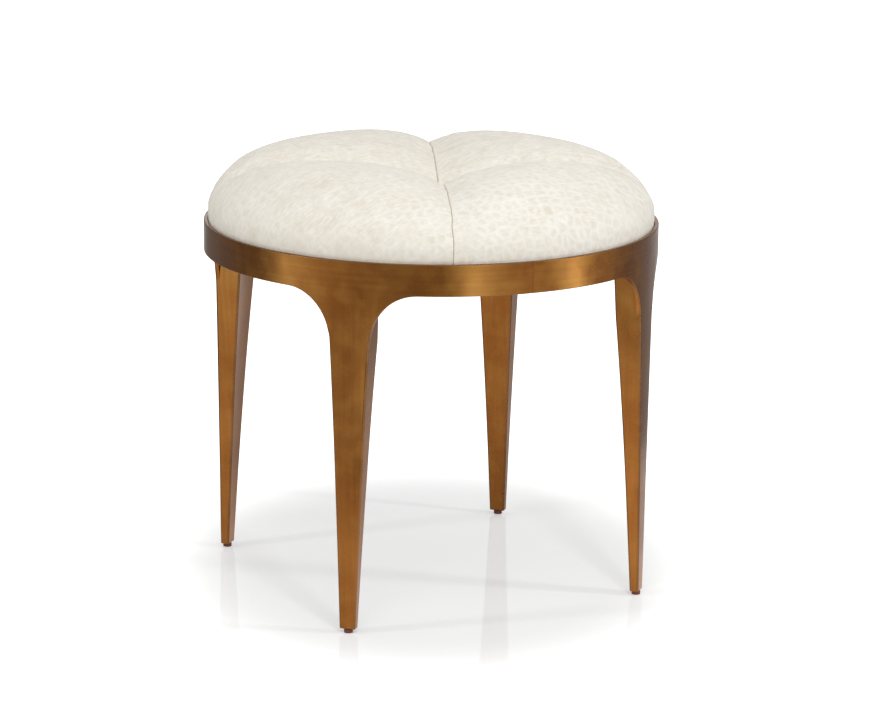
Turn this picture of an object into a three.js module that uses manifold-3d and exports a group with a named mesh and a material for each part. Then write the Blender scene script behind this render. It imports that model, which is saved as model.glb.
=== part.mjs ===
// A round vanity stool: four cast brass leg-and-apron quarters bolted into a ring,
// an upholstered drop-in seat sewn with a cross of two seams, and a screw-in glide in each foot.
// Millimetres, +Z up. The origin is on the floor at the ring's centre, and the legs stand at the
// corners between the X and Y axes.

import * as THREE from 'three';
import { mergeVertices } from 'three/addons/utils/BufferGeometryUtils.js';
import Module from 'manifold-3d';

const wasm = await Module();
wasm.setup();

// Apron ring
const ringOuterRadius = 260;
const ringWall = 5;
const ringTop = 420;
const bandHeight = 35;

// Legs, measured across the ring and along its radius
const legCount = 4;
const footWidth = 18.5;
const midWidth = 32;
const headWidth = 46;
const footDepth = 10.5;
const midDepth = 20;
const headDepth = 30;
const bandDepth = 33.5;
const midHeightShare = 0.55;
const headFilletRadius = 52;
const skinOverlap = 2;

// Seat lugs inside the leg heads
const lugLength = 40;
const lugWidth = 30;
const lugThickness = 8;
const bossRadius = 9;

// Butt joints, the gap left wherever two pieces meet, and the plates that bridge the joints
const fitGap = 0.3;
const spliceLength = 70;
const spliceHeight = 13;
const spliceThickness = 4;
const spliceFloorGap = 2;
const spliceScrewsPerSide = 2;
const spliceScrewPitch = 16;
const spliceScrewRadius = 2;
const spliceScrewBite = 3.4;
const spliceHeadRadius = 3.6;
const spliceHeadHeight = 1.8;

// Seat
const deckThickness = 15;
const deckTopRecess = 1;
const deckGap = 0.8;
const foamGap = 0.9;
const coverThickness = 1.3;
const coverSideGap = 0.6;
const coverBulge = 1.6;
const coverRoll = 4;
const hemWidth = 26;
const seamHeight = 57;
const puffHeight = 22;
const seamSpread = 124;
const centreDip = 17;
const dipRadius = 80;
const seamShiftAcross = 8;
const seamShiftAlong = -7;
const seamGap = 0.5;
const centreOpening = 2.2;
const seamTurn = THREE.MathUtils.degToRad(-21.5);

// How the sewn top swells: steep beside a seam, less full towards the edge, and rolled over there
const puffSteepness = 3.1;
const puffEdgeShare = 0.55;
const puffEdgePower = 4;
const shoulderPower = 5.4;
const shoulderRound = 2.1;

// Dust cover
const dustCoverThickness = 0.6;
const dustCoverLap = 8;
const dustHoleGap = 2;

// Seat bolts, washers and T-nuts
const boltRadius = 3;
const boltHeadRadius = 6;
const boltHeadHeight = 3.5;
const boltSocketRadius = 2.2;
const boltSocketDepth = 2;
const washerRadius = 8;
const washerThickness = 1.6;
const nutBarrelRadius = 4.7;
const nutFlangeRadius = 10;
const nutFlangeThickness = 1.5;
const nutBarrelLength = 11;

// Tie that holds the middle of the seam cross down
const tieRadius = 1.2;
const toggleRadius = 8;

// Glides
const padRadius = 5;
const padHeight = 4.5;
const padRibDepth = 0.35;
const padRibs = 16;
const padEdge = 0.4;
const studRadius = 2.5;
const studLength = 22;
const studSeatDepth = 2.5;
const studHoleSpare = 2;

// How finely curves are cut into flats
const ringSides = 96;
const roundSides = 16;
const smallSides = 10;
const legCurveSteps = 6;
const lugCurveSteps = 8;
const padColumns = 60;
const padRows = 11;

// How far a cutting tool runs past the piece it cuts
const overrun = 10;

// Places that follow from the sizes above
const legBottom = padHeight + fitGap;
const bandBottom = ringTop - bandHeight;
const ringInnerRadius = ringOuterRadius - ringWall;
const deckTop = ringTop - deckTopRecess;
const deckBottom = deckTop - deckThickness;
const hemTop = deckBottom - fitGap;
const hemBottom = hemTop - coverThickness;
const dustCoverTop = hemBottom - fitGap;
const dustCoverBottom = dustCoverTop - dustCoverThickness;
const lugTop = dustCoverBottom - fitGap;
const lugBottom = lugTop - lugThickness;
const bossTop = deckBottom - fitGap;
const coverSideRadius = ringInnerRadius - coverSideGap;
const seatRadius = coverSideRadius + coverBulge;
const bulgeLevel = ringTop + coverRoll;
const deckRadius = coverSideRadius - coverThickness - deckGap;
const filletLevel = bandBottom - headFilletRadius;
const midLevel = legBottom + (filletLevel - legBottom) * midHeightShare;
const lugTipRadius = ringOuterRadius - headDepth - lugLength;
const boltCircleRadius = lugTipRadius + lugWidth / 2;
const footCircleRadius = ringOuterRadius - footDepth / 2;
const spliceLevel = bandBottom + spliceFloorGap + spliceHeight / 2;
const spliceOuterRadius = ringInnerRadius - fitGap;
const spliceInnerRadius = spliceOuterRadius - spliceThickness;
const washerTop = lugBottom - fitGap;
const washerBottom = washerTop - washerThickness;
const boltSeat = washerBottom - fitGap;
const boltTip = deckTop - nutFlangeThickness;

const fullTurn = Math.PI * 2;
const quarterTurn = fullTurn / legCount;
const firstLegAngle = quarterTurn / 2;
const seatCentre = new THREE.Vector2(0, 0);
const crossPoint = new THREE.Vector2(seamShiftAcross, seamShiftAlong).rotateAround(seatCentre, seamTurn);

const corners = ['back_right', 'back_left', 'front_left', 'front_right'];
const sides = ['back', 'left', 'front', 'right'];
const panels = ['right', 'back', 'left', 'front'];

function finish(color, roughness, metalness) {
  return new THREE.MeshStandardMaterial({ color, roughness, metalness });
}

const antiqueBrass = () => finish('#8a5c2c', 0.38, 1);
const zincSteel = () => finish('#9a9c9e', 0.4, 1);
const brownNylon = () => finish('#3a1710', 0.55, 0);
const birchPly = () => finish('#c9a877', 0.7, 0);
const creamFoam = () => finish('#e6d9a8', 0.95, 0);
const ivoryVelvet = () => finish('#efe9df', 0.9, 0);
const blackCambric = () => finish('#26262a', 0.95, 0);
const linenTwine = () => finish('#d8cfb8', 0.9, 0);

// Six times the volume inside the triangles, negative where they face inwards
function signedVolume(position, index) {
  const corner = (place) => new THREE.Vector3().fromBufferAttribute(position, index[place]);
  let sum = 0;
  for (let first = 0; first < index.length; first += 3) {
    sum += corner(first).dot(corner(first + 1).cross(corner(first + 2)));
  }
  return sum;
}

function closed(geometry) {
  const bare = geometry.clone();
  bare.deleteAttribute('normal');
  bare.deleteAttribute('uv');
  const merged = mergeVertices(bare);
  const faces = Array.from(merged.index.array);
  if (signedVolume(merged.attributes.position, faces) < 0) {
    faces.reverse();
  }
  merged.setIndex(faces);
  merged.computeVertexNormals();
  return merged;
}

function toSolid(geometry) {
  const shell = closed(geometry);
  const vertProperties = new Float32Array(shell.attributes.position.array);
  const triVerts = new Uint32Array(shell.index.array);
  return new wasm.Manifold(new wasm.Mesh({ numProp: 3, vertProperties, triVerts }));
}

function toGeometry(solid) {
  const mesh = solid.getMesh();
  const geometry = new THREE.BufferGeometry();
  geometry.setAttribute('position', new THREE.BufferAttribute(mesh.vertProperties, 3));
  geometry.setIndex(new THREE.BufferAttribute(mesh.triVerts, 1));
  geometry.computeVertexNormals();
  return geometry;
}

function extrude(shape, depth, curveSegments = legCurveSteps) {
  return new THREE.ExtrudeGeometry(shape, { depth, bevelEnabled: false, curveSegments });
}

// A closed outline from its right half, which starts and ends on the middle line
function mirrored(right) {
  const half = right.getPoints(legCurveSteps);
  const other = half.slice(1).reverse().map((point) => new THREE.Vector2(-point.x, point.y));
  return new THREE.Shape([...half, ...other]);
}

// A shape drawn with x across the leg and y upwards, extruded outwards along the leg's radius
function standFacingOut(geometry, start) {
  const across = new THREE.Vector3(0, 1, 0);
  const up = new THREE.Vector3(0, 0, 1);
  const out = new THREE.Vector3(1, 0, 0);
  geometry.applyMatrix4(new THREE.Matrix4().makeBasis(across, up, out));
  return geometry.translate(start, 0, 0);
}

// A shape drawn with x along the radius and y upwards, extruded across the leg
function standSideways(geometry, width) {
  const out = new THREE.Vector3(1, 0, 0);
  const up = new THREE.Vector3(0, 0, 1);
  const across = new THREE.Vector3(0, -1, 0);
  geometry.applyMatrix4(new THREE.Matrix4().makeBasis(out, up, across));
  return geometry.translate(0, width / 2, 0);
}

// A piece of ring; its arcs are cut into two flats for each step
function ringSector(inner, outer, halfAngle, bottom, height) {
  const steps = Math.ceil((halfAngle * ringSides) / fullTurn);
  const shape = new THREE.Shape();
  shape.absarc(0, 0, outer, -halfAngle, halfAngle, false);
  shape.absarc(0, 0, inner, halfAngle, -halfAngle, true);
  return extrude(shape, height, steps).translate(0, 0, bottom);
}

// An upright turned piece; each profile entry is [radius, height]
function turned(profile, sides = roundSides) {
  const points = profile.map(([radius, height]) => new THREE.Vector2(radius, height));
  return new THREE.LatheGeometry(points, sides).rotateX(quarterTurn);
}

function rod(radius, bottom, top, sides = roundSides) {
  return turned([[0, bottom], [radius, bottom], [radius, top], [0, top]], sides);
}

// An upright turned piece laid on the leg's radius, its top pointing outwards
function layOutwards(geometry) {
  return geometry.rotateY(quarterTurn);
}

// The width half-way up is met by a curve whose control point lies opposite the mean of its ends
function controlFor(foot, middle, head) {
  return 2 * middle - (foot + head) / 2;
}

function legEdge(shape, side) {
  const control = controlFor(footWidth, midWidth, headWidth) / 2;
  const controlLevel = controlFor(legBottom, midLevel, filletLevel);
  shape.quadraticCurveTo(side * control, controlLevel, (side * headWidth) / 2, filletLevel);
}

// The casting's face seen from outside: leg, two fillets and the band
function castingFace() {
  const halfSpan = ringOuterRadius;
  const filletCentre = headWidth / 2 + headFilletRadius;
  const right = new THREE.Shape();
  right.moveTo(0, legBottom);
  right.lineTo(footWidth / 2, legBottom);
  legEdge(right, 1);
  right.absarc(filletCentre, filletLevel, headFilletRadius, Math.PI, quarterTurn, true);
  right.lineTo(halfSpan, bandBottom);
  right.lineTo(halfSpan, ringTop);
  return mirrored(right);
}

function legFace(top) {
  const right = new THREE.Shape();
  right.moveTo(0, legBottom);
  right.lineTo(footWidth / 2, legBottom);
  legEdge(right, 1);
  right.lineTo(headWidth / 2, top);
  return mirrored(right);
}

// The leg seen from its side: upright outside, swelling inwards up to the band's lower edge
function legSide(top) {
  const outer = ringOuterRadius - skinOverlap;
  const control = ringOuterRadius - controlFor(footDepth, midDepth, headDepth);
  const controlLevel = controlFor(legBottom, midLevel, filletLevel);
  const shape = new THREE.Shape();
  shape.moveTo(ringOuterRadius - footDepth, legBottom);
  shape.lineTo(outer, legBottom);
  shape.lineTo(outer, top);
  shape.lineTo(ringOuterRadius - bandDepth, top);
  shape.lineTo(ringOuterRadius - bandDepth, bandBottom);
  shape.lineTo(ringOuterRadius - headDepth, filletLevel);
  shape.quadraticCurveTo(control, controlLevel, ringOuterRadius - footDepth, legBottom);
  return shape;
}

function lug() {
  const shape = new THREE.Shape();
  const root = ringOuterRadius - headDepth + skinOverlap;
  shape.moveTo(root, -lugWidth / 2);
  shape.lineTo(root, lugWidth / 2);
  shape.lineTo(boltCircleRadius, lugWidth / 2);
  shape.absarc(boltCircleRadius, 0, lugWidth / 2, quarterTurn, -quarterTurn, false);
  const plate = toSolid(extrude(shape, lugThickness, lugCurveSteps).translate(0, 0, lugBottom));
  const boss = toSolid(rod(bossRadius, lugBottom + fitGap, bossTop).translate(boltCircleRadius, 0, 0));
  const hole = rod(boltRadius + fitGap, lugBottom - overrun, bossTop + overrun);
  return plate.add(boss).subtract(toSolid(hole.translate(boltCircleRadius, 0, 0)));
}

// Angles of the screws from the butt joint, one side of it
function spliceScrewAngles() {
  const first = spliceLength / 2 - spliceScrewPitch * (spliceScrewsPerSide - 1) - spliceHeadRadius * 2;
  const indices = Array.from({ length: spliceScrewsPerSide }, (_, index) => index);
  return indices.map((index) => (first + spliceScrewPitch * index) / ringInnerRadius);
}

function radialHole(radius, from, to, angle) {
  const core = layOutwards(rod(radius, from, to, smallSides));
  return toSolid(core.translate(0, 0, spliceLevel).rotateZ(angle));
}

function legCasting() {
  const halfQuarter = quarterTurn / 2;
  const halfAngle = halfQuarter - fitGap / 2 / ringInnerRadius;
  const shell = ringSector(ringInnerRadius, ringOuterRadius, halfAngle, 0, ringTop + overrun);
  const face = extrude(castingFace(), ringOuterRadius);
  const skin = toSolid(shell).intersect(toSolid(standFacingOut(face, overrun)));
  const legDepthPrism = standSideways(extrude(legSide(lugTop), headWidth * 2), headWidth * 2);
  const legPrism = standFacingOut(extrude(legFace(lugTop), ringOuterRadius), overrun);
  const leg = toSolid(legPrism).intersect(toSolid(legDepthPrism));
  const boreTop = legBottom + studLength - studSeatDepth + studHoleSpare;
  const bore = rod(studRadius + fitGap, legBottom - overrun, boreTop).translate(footCircleRadius, 0, 0);
  let casting = skin.add(leg).add(lug()).subtract(toSolid(bore));
  const holeEnd = ringInnerRadius + spliceScrewBite + fitGap;
  for (const angle of spliceScrewAngles()) {
    for (const side of [-1, 1]) {
      const place = side * (halfQuarter - angle);
      const hole = radialHole(spliceScrewRadius + fitGap, ringInnerRadius - overrun, holeEnd, place);
      casting = casting.subtract(hole);
    }
  }
  return toGeometry(casting);
}

function splicePlate() {
  const halfAngle = spliceLength / 2 / ringInnerRadius;
  const bottom = spliceLevel - spliceHeight / 2;
  const bar = ringSector(spliceInnerRadius, spliceOuterRadius, halfAngle, bottom, spliceHeight);
  let plate = toSolid(bar);
  const recess = spliceInnerRadius + spliceHeadHeight + fitGap;
  for (const angle of spliceScrewAngles()) {
    for (const side of [-1, 1]) {
      const start = spliceInnerRadius - overrun;
      const shank = spliceScrewRadius + fitGap;
      plate = plate.subtract(radialHole(shank, start, spliceOuterRadius + overrun, side * angle));
      plate = plate.subtract(radialHole(spliceHeadRadius + fitGap, start, recess, side * angle));
    }
  }
  return toGeometry(plate);
}

function spliceScrew() {
  const headTop = spliceInnerRadius;
  const headSeat = headTop + spliceHeadHeight;
  const tip = ringInnerRadius + spliceScrewBite;
  const profile = [
    [0, headTop],
    [spliceHeadRadius, headTop],
    [spliceHeadRadius, headSeat],
    [spliceScrewRadius, headSeat],
    [spliceScrewRadius, tip],
    [0, tip],
  ];
  return layOutwards(turned(profile, smallSides)).translate(0, 0, spliceLevel);
}

function seatBolt() {
  const headBottom = boltSeat - boltHeadHeight;
  const profile = [
    [0, headBottom + boltSocketDepth],
    [boltSocketRadius, headBottom + boltSocketDepth],
    [boltSocketRadius, headBottom],
    [boltHeadRadius, headBottom],
    [boltHeadRadius, boltSeat],
    [boltRadius, boltSeat],
    [boltRadius, boltTip],
    [0, boltTip],
  ];
  return turned(profile).translate(boltCircleRadius, 0, 0);
}

function washer() {
  const hole = boltRadius + fitGap;
  const profile = [
    [hole, washerBottom],
    [washerRadius, washerBottom],
    [washerRadius, washerTop],
    [hole, washerTop],
    [hole, washerBottom],
  ];
  return turned(profile).translate(boltCircleRadius, 0, 0);
}

function tNut() {
  const bore = boltRadius + fitGap;
  const flangeBottom = deckTop - nutFlangeThickness;
  const barrelBottom = deckTop - nutBarrelLength;
  const profile = [
    [bore, barrelBottom],
    [nutBarrelRadius, barrelBottom],
    [nutBarrelRadius, flangeBottom],
    [nutFlangeRadius, flangeBottom],
    [nutFlangeRadius, deckTop],
    [bore, deckTop],
    [bore, barrelBottom],
  ];
  return turned(profile).translate(boltCircleRadius, 0, 0);
}

function onLegs(make) {
  return corners.map((_, index) => make(firstLegAngle + index * quarterTurn));
}

function seatDeck() {
  let deck = toSolid(rod(deckRadius, deckBottom, deckTop, ringSides));
  const holes = onLegs((angle) => {
    const barrel = rod(nutBarrelRadius + fitGap, deckBottom - overrun, deckTop + overrun);
    const sink = deckTop - nutFlangeThickness - fitGap;
    const flange = rod(nutFlangeRadius + fitGap, sink, deckTop + overrun);
    const place = (geometry) => toSolid(geometry.translate(boltCircleRadius, 0, 0).rotateZ(angle));
    return place(barrel).add(place(flange));
  });
  for (const hole of holes) {
    deck = deck.subtract(hole);
  }
  const tieHole = rod(tieRadius + fitGap, deckBottom - overrun, deckTop + overrun);
  return toGeometry(deck.subtract(toSolid(tieHole.translate(crossPoint.x, crossPoint.y, 0))));
}

function dustCover() {
  const radius = coverSideRadius - hemWidth + dustCoverLap;
  let sheet = toSolid(rod(radius, dustCoverBottom, dustCoverTop, ringSides));
  const holes = onLegs((angle) => {
    const hole = rod(bossRadius + dustHoleGap, dustCoverBottom - overrun, dustCoverTop + overrun);
    return toSolid(hole.translate(boltCircleRadius, 0, 0).rotateZ(angle));
  });
  for (const hole of holes) {
    sheet = sheet.subtract(hole);
  }
  return toGeometry(sheet);
}

// A plan point seen along the two seams from where they cross
function alongSeams(x, y) {
  return new THREE.Vector2(x, y).sub(crossPoint).rotateAround(seatCentre, -seamTurn);
}

function rise(distance) {
  const share = Math.min(Math.abs(distance) / seamSpread, 1);
  return 1 - (1 - share) ** puffSteepness;
}

// Height of the sewn top over its widest level, at a plan point, for a body drawn in by inset
function crown(x, y, inset) {
  const radius = seatRadius - inset;
  const share = Math.min(Math.hypot(x, y) / radius, 1);
  const local = alongSeams(x, y);
  const puff = puffHeight * rise(local.x) * rise(local.y) * (1 - puffEdgeShare * share ** puffEdgePower);
  const dip = centreDip * Math.exp(-((local.length() / dipRadius) ** 2));
  const shoulder = (1 - share ** shoulderPower) ** (1 / shoulderRound);
  return (seamHeight + puff - dip - inset) * shoulder;
}

// Plan point on the ray from start in a direction, a share of the way to the edge circle
function rayPoint(start, direction, share, radius) {
  const ray = new THREE.Vector2(Math.cos(direction), Math.sin(direction));
  const along = start.dot(ray);
  const reach = Math.sqrt(along ** 2 - start.lengthSq() + radius ** 2) - along;
  return ray.multiplyScalar(reach * share).add(start);
}

// The share of the way out for a row, closer together towards the rolled shoulder
function rowShare(row, rows) {
  return Math.sin((row / rows) * quarterTurn);
}

// Moves every point of a geometry by a rule
function shaped(geometry, rule) {
  const position = geometry.attributes.position;
  const point = new THREE.Vector3();
  for (let index = 0; index < position.count; index += 1) {
    const moved = rule(point.fromBufferAttribute(position, index));
    position.setXYZ(index, moved.x, moved.y, moved.z);
  }
  return closed(geometry);
}

function seatFoam() {
  const inset = coverThickness + foamGap;
  const base = deckTop + fitGap;
  const profile = [[0, 0], [1, 0]];
  for (let row = padRows; row >= 0; row -= 1) {
    profile.push([rowShare(row, padRows), 1]);
  }
  const pad = shaped(turned(profile, padColumns), (point) => {
    const direction = Math.atan2(point.y, point.x) + seamTurn;
    const share = Math.hypot(point.x, point.y);
    const onTop = Math.round(point.z) === 1;
    const radius = onTop ? seatRadius - inset : deckRadius;
    const place = rayPoint(crossPoint, direction, share, radius);
    const height = onTop ? bulgeLevel + crown(place.x, place.y, inset) : base;
    return new THREE.Vector3(place.x, place.y, height);
  });
  const hole = rod(tieRadius + fitGap, base - overrun, ringTop + seamHeight + puffHeight + overrun);
  return toGeometry(toSolid(pad).subtract(toSolid(hole.translate(crossPoint.x, crossPoint.y, 0))));
}

// One quarter of the sewn cover: over the crown, down inside the ring and turned under the deck
function coverPanel(quarter) {
  const start = new THREE.Vector2(seamGap / 2, seamGap / 2);
  const turn = seamTurn + quarter * quarterTurn;
  start.rotateAround(seatCentre, turn).add(crossPoint);
  const openingShare = centreOpening / seatRadius;
  const sideStops = (inset) => [
    [coverSideRadius - inset, ringTop - fitGap],
    [coverSideRadius - inset, hemBottom + inset],
    [coverSideRadius - hemWidth, hemBottom + inset],
  ];
  const rows = padRows + sideStops(0).length;
  const sheet = new THREE.BoxGeometry(1, 1, 1, rows, padColumns / legCount, 1);
  return shaped(sheet, (point) => {
    const row = Math.round((point.x + 0.5) * rows);
    const direction = turn + (point.y + 0.5) * quarterTurn;
    const inset = point.z > 0 ? 0 : coverThickness;
    if (row <= padRows) {
      const share = openingShare + (1 - openingShare) * rowShare(row, padRows);
      const place = rayPoint(start, direction, share, seatRadius - inset);
      return new THREE.Vector3(place.x, place.y, bulgeLevel + crown(place.x, place.y, inset));
    }
    const [radius, height] = sideStops(inset)[row - padRows - 1];
    const place = rayPoint(start, direction, 1, radius);
    return new THREE.Vector3(place.x, place.y, height);
  });
}

function tieCord() {
  const top = bulgeLevel + crown(crossPoint.x, crossPoint.y, coverThickness);
  return rod(tieRadius, hemTop, top, smallSides).translate(crossPoint.x, crossPoint.y, 0);
}

function tieToggle() {
  return rod(toggleRadius, hemBottom, hemTop - fitGap).translate(crossPoint.x, crossPoint.y, 0);
}

function glideStud() {
  const bottom = padHeight - studSeatDepth + fitGap;
  return rod(studRadius, bottom, bottom + studLength).translate(footCircleRadius, 0, 0);
}

function glidePad() {
  const outline = new THREE.Shape();
  const points = Array.from({ length: padRibs * 2 }, (_, index) => {
    const radius = padRadius - padEdge - (index % 2) * padRibDepth;
    const angle = (index / padRibs / 2) * fullTurn;
    return new THREE.Vector2(Math.cos(angle) * radius, Math.sin(angle) * radius);
  });
  outline.setFromPoints(points);
  const body = new THREE.ExtrudeGeometry(outline, {
    depth: padHeight - padEdge * 2,
    bevelThickness: padEdge,
    bevelSize: padEdge,
    bevelSegments: 1,
  });
  const seat = rod(studRadius + fitGap, padHeight - studSeatDepth, padHeight + overrun);
  const pad = toSolid(body.translate(0, 0, padEdge)).subtract(toSolid(seat));
  return toGeometry(pad.translate([footCircleRadius, 0, 0]));
}

function piece(name, geometry, material, turn = 0) {
  const mesh = new THREE.Mesh(geometry, material);
  mesh.name = name;
  mesh.rotation.z = turn;
  return mesh;
}

const stool = new THREE.Group();

corners.forEach((corner, index) => {
  const turn = firstLegAngle + index * quarterTurn;
  stool.add(piece(`leg_casting_${corner}`, legCasting(), antiqueBrass(), turn));
  stool.add(piece(`seat_bolt_${corner}`, closed(seatBolt()), zincSteel(), turn));
  stool.add(piece(`seat_bolt_washer_${corner}`, closed(washer()), zincSteel(), turn));
  stool.add(piece(`t_nut_${corner}`, closed(tNut()), zincSteel(), turn));
  stool.add(piece(`glide_stud_${corner}`, closed(glideStud()), zincSteel(), turn));
  stool.add(piece(`glide_pad_${corner}`, glidePad(), brownNylon(), turn));
});

sides.forEach((side, index) => {
  const turn = (index + 1) * quarterTurn;
  stool.add(piece(`splice_plate_${side}`, splicePlate(), antiqueBrass(), turn));
  const angles = spliceScrewAngles();
  const places = [...angles.map((angle) => -angle), ...angles];
  places.forEach((angle, number) => {
    const name = `splice_screw_${side}_${number + 1}`;
    stool.add(piece(name, closed(spliceScrew()), zincSteel(), turn + angle));
  });
});

stool.add(piece('seat_deck', seatDeck(), birchPly()));
stool.add(piece('seat_foam', seatFoam(), creamFoam()));
panels.forEach((panel, index) => {
  stool.add(piece(`cover_panel_${panel}`, coverPanel(index), ivoryVelvet()));
});
stool.add(piece('seat_tie_cord', closed(tieCord()), linenTwine()));
stool.add(piece('seat_tie_toggle', closed(tieToggle()), brownNylon()));
stool.add(piece('dust_cover', dustCover(), blackCambric()));

export default stool;
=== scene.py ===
# %% [markdown]
# # A round vanity stool
# Four cast brass quarters butt together into a ring on four tapered legs, and a round seat sewn
# from four velvet panels drops into the ring. The solids arrive as a fixed frame. This file gives
# every piece its real surface: rounded castings, a swelled and sewn seat, threads, ribs and staples.
# All places are in metres, in the frame of the solids: the origin is on the floor under the
# middle of the ring, +Z is up, and the legs stand at the corners between the X and Y axes.

# %% Load the frame
import math

import bmesh
import bpy
from bmesh.types import BMEdge, BMFace, BMVert
from mathutils import Matrix, Vector, noise


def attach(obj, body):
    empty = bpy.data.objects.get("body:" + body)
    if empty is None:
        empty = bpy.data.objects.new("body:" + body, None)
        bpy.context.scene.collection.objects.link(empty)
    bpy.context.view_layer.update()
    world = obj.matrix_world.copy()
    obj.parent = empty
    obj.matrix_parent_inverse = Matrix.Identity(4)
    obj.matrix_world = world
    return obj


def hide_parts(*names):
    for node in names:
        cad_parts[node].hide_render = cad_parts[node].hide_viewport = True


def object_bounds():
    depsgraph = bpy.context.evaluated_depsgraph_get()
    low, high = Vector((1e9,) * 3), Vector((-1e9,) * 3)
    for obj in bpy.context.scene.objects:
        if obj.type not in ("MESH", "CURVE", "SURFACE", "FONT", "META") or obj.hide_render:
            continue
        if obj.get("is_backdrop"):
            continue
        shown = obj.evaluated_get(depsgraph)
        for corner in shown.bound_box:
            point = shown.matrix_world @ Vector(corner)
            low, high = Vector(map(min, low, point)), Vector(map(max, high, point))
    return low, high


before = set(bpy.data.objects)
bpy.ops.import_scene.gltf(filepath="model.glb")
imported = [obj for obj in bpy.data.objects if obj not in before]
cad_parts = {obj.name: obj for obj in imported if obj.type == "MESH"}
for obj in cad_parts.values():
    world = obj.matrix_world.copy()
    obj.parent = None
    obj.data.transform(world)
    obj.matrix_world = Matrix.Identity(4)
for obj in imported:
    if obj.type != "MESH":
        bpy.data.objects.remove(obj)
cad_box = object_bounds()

mm = 0.001
corners = {"back_right": 45, "back_left": 135, "front_left": 225, "front_right": 315}
sides = {"back": 90, "left": 180, "front": 270, "right": 360}

# %% [markdown]
# ## The camera
# The photograph was taken from 4 m away with a long lens, a little above the seat. The camera's
# place was worked out from the ring and the feet: 25 degrees round to the left of the stool's
# front and 13.5 degrees up, with a slight tilt. Building it from three directions keeps that tilt.

# %% Camera
camera_azimuth = math.radians(-25.24)
camera_height_angle = math.radians(13.53)
camera_roll = math.radians(0.654)
camera_distance = 4020 * mm
aim_height, aim_shift = 260.3 * mm, 6.0 * mm
photo_width, focal_pixels, sensor_width = 870, 3480, 36
view_depth = 40

towards_stool = Vector((-math.sin(camera_azimuth), math.cos(camera_azimuth), 0))
camera_right = Vector((math.cos(camera_azimuth), math.sin(camera_azimuth), 0))
upright = Vector((0, 0, 1))
look = towards_stool * math.cos(camera_height_angle) - upright * math.sin(camera_height_angle)
camera_up = camera_right.cross(look)
turned_right = camera_right * math.cos(camera_roll) + camera_up * math.sin(camera_roll)
turned_up = camera_up * math.cos(camera_roll) - camera_right * math.sin(camera_roll)

camera = bpy.data.objects.new("camera", bpy.data.cameras.new("camera"))
bpy.context.scene.collection.objects.link(camera)
camera.data.sensor_width = sensor_width
camera.data.lens = focal_pixels / photo_width * sensor_width
camera.data.clip_end = view_depth
aim = camera_right * aim_shift + upright * aim_height
pose = Matrix((turned_right, turned_up, -look)).transposed().to_4x4()
pose.translation = aim - look * camera_distance
camera.matrix_world = pose
bpy.context.scene.camera = camera
print("camera at", [round(x, 3) for x in pose.translation], "lens", round(camera.data.lens, 1))

# %% [markdown]
# ## Helpers for materials
# Colours are written as they look on a screen and turned into the linear numbers that shaders
# work in. One helper adds a node: keyword arguments set its properties, and a table gives its
# sockets a value, another node's output, or another node, which stands for its first output.

# %% Colour and node helpers
def linear(hex_text):
    """An sRGB hex colour as linear red, green, blue and an alpha of 1."""
    parts = [int(hex_text[place:place + 2], 16) / 255 for place in (1, 3, 5)]
    return [c / 12.92 if c <= 0.04045 else ((c + 0.055) / 1.055) ** 2.4 for c in parts] + [1]


def plug(material, node, sockets):
    """Gives a node's sockets their values or links."""
    for place, value in sockets.items():
        if isinstance(value, bpy.types.Node):
            value = value.outputs[0]
        if isinstance(value, bpy.types.NodeSocket):
            material.node_tree.links.new(value, node.inputs[place])
        else:
            node.inputs[place].default_value = value
    return node


def add(material, kind, sockets=None, **settings):
    """A new node in the material, with its settings and its sockets' values or links."""
    node = material.node_tree.nodes.new(f"ShaderNode{kind}")
    for name, value in settings.items():
        setattr(node, name, value)
    return plug(material, node, sockets or {})


def new_material(name):
    """A material, its surface shader and the place on the piece, in metres."""
    material = bpy.data.materials.new(name)
    material.use_nodes = True
    place = add(material, "TexCoord").outputs["Object"]
    return material, material.node_tree.nodes["Principled BSDF"], place


def blend_colours(material, share, first, second):
    """The colour output of a mix of two hex colours or colour outputs."""
    first, second = (linear(c) if isinstance(c, str) else c for c in (first, second))
    return add(material, "Mix", {0: share, 6: first, 7: second}, data_type="RGBA").outputs[2]


def ramp_between(material, value, low, high, start=0.0, end=1.0):
    """The value, spread from low..high to start..end and held there."""
    return add(material, "MapRange", {0: value, 1: low, 2: high, 3: start, 4: end}, clamp=True)


def bump(material, height, depth):
    """Bump for a surface; depth is the real height in metres of the pattern's full range."""
    return add(material, "Bump", {"Height": height, "Distance": depth})


# %% [markdown]
# ## Antique brass
# The castings are yellow brass that was ground on a belt, darkened in a bath and lacquered.
# The bath leaves cloudy brown patches some 60 mm across with golden ones of 24 mm in them, the belt
# leaves fine lines, up and down on the legs and round the ring, and sand casting leaves a few small
# pits. The belt lines are 0.2 mm apart, too fine to see one by one, so soft bands of them 4 mm wide
# are drawn. They follow a map on each casting: across in its first coordinate, height in its second.
# The splice plates are rolled strip, darkened in the same bath; they have no map, and their bands
# run along Y.

# %% Antique brass
cloud_size, stain_size = 60 * mm, 24 * mm
band_width, band_length = 4 * mm, 110 * mm
bands_turn_low, bands_turn_high = 350 * mm, 388 * mm
pit_spacing = 13 * mm


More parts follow.
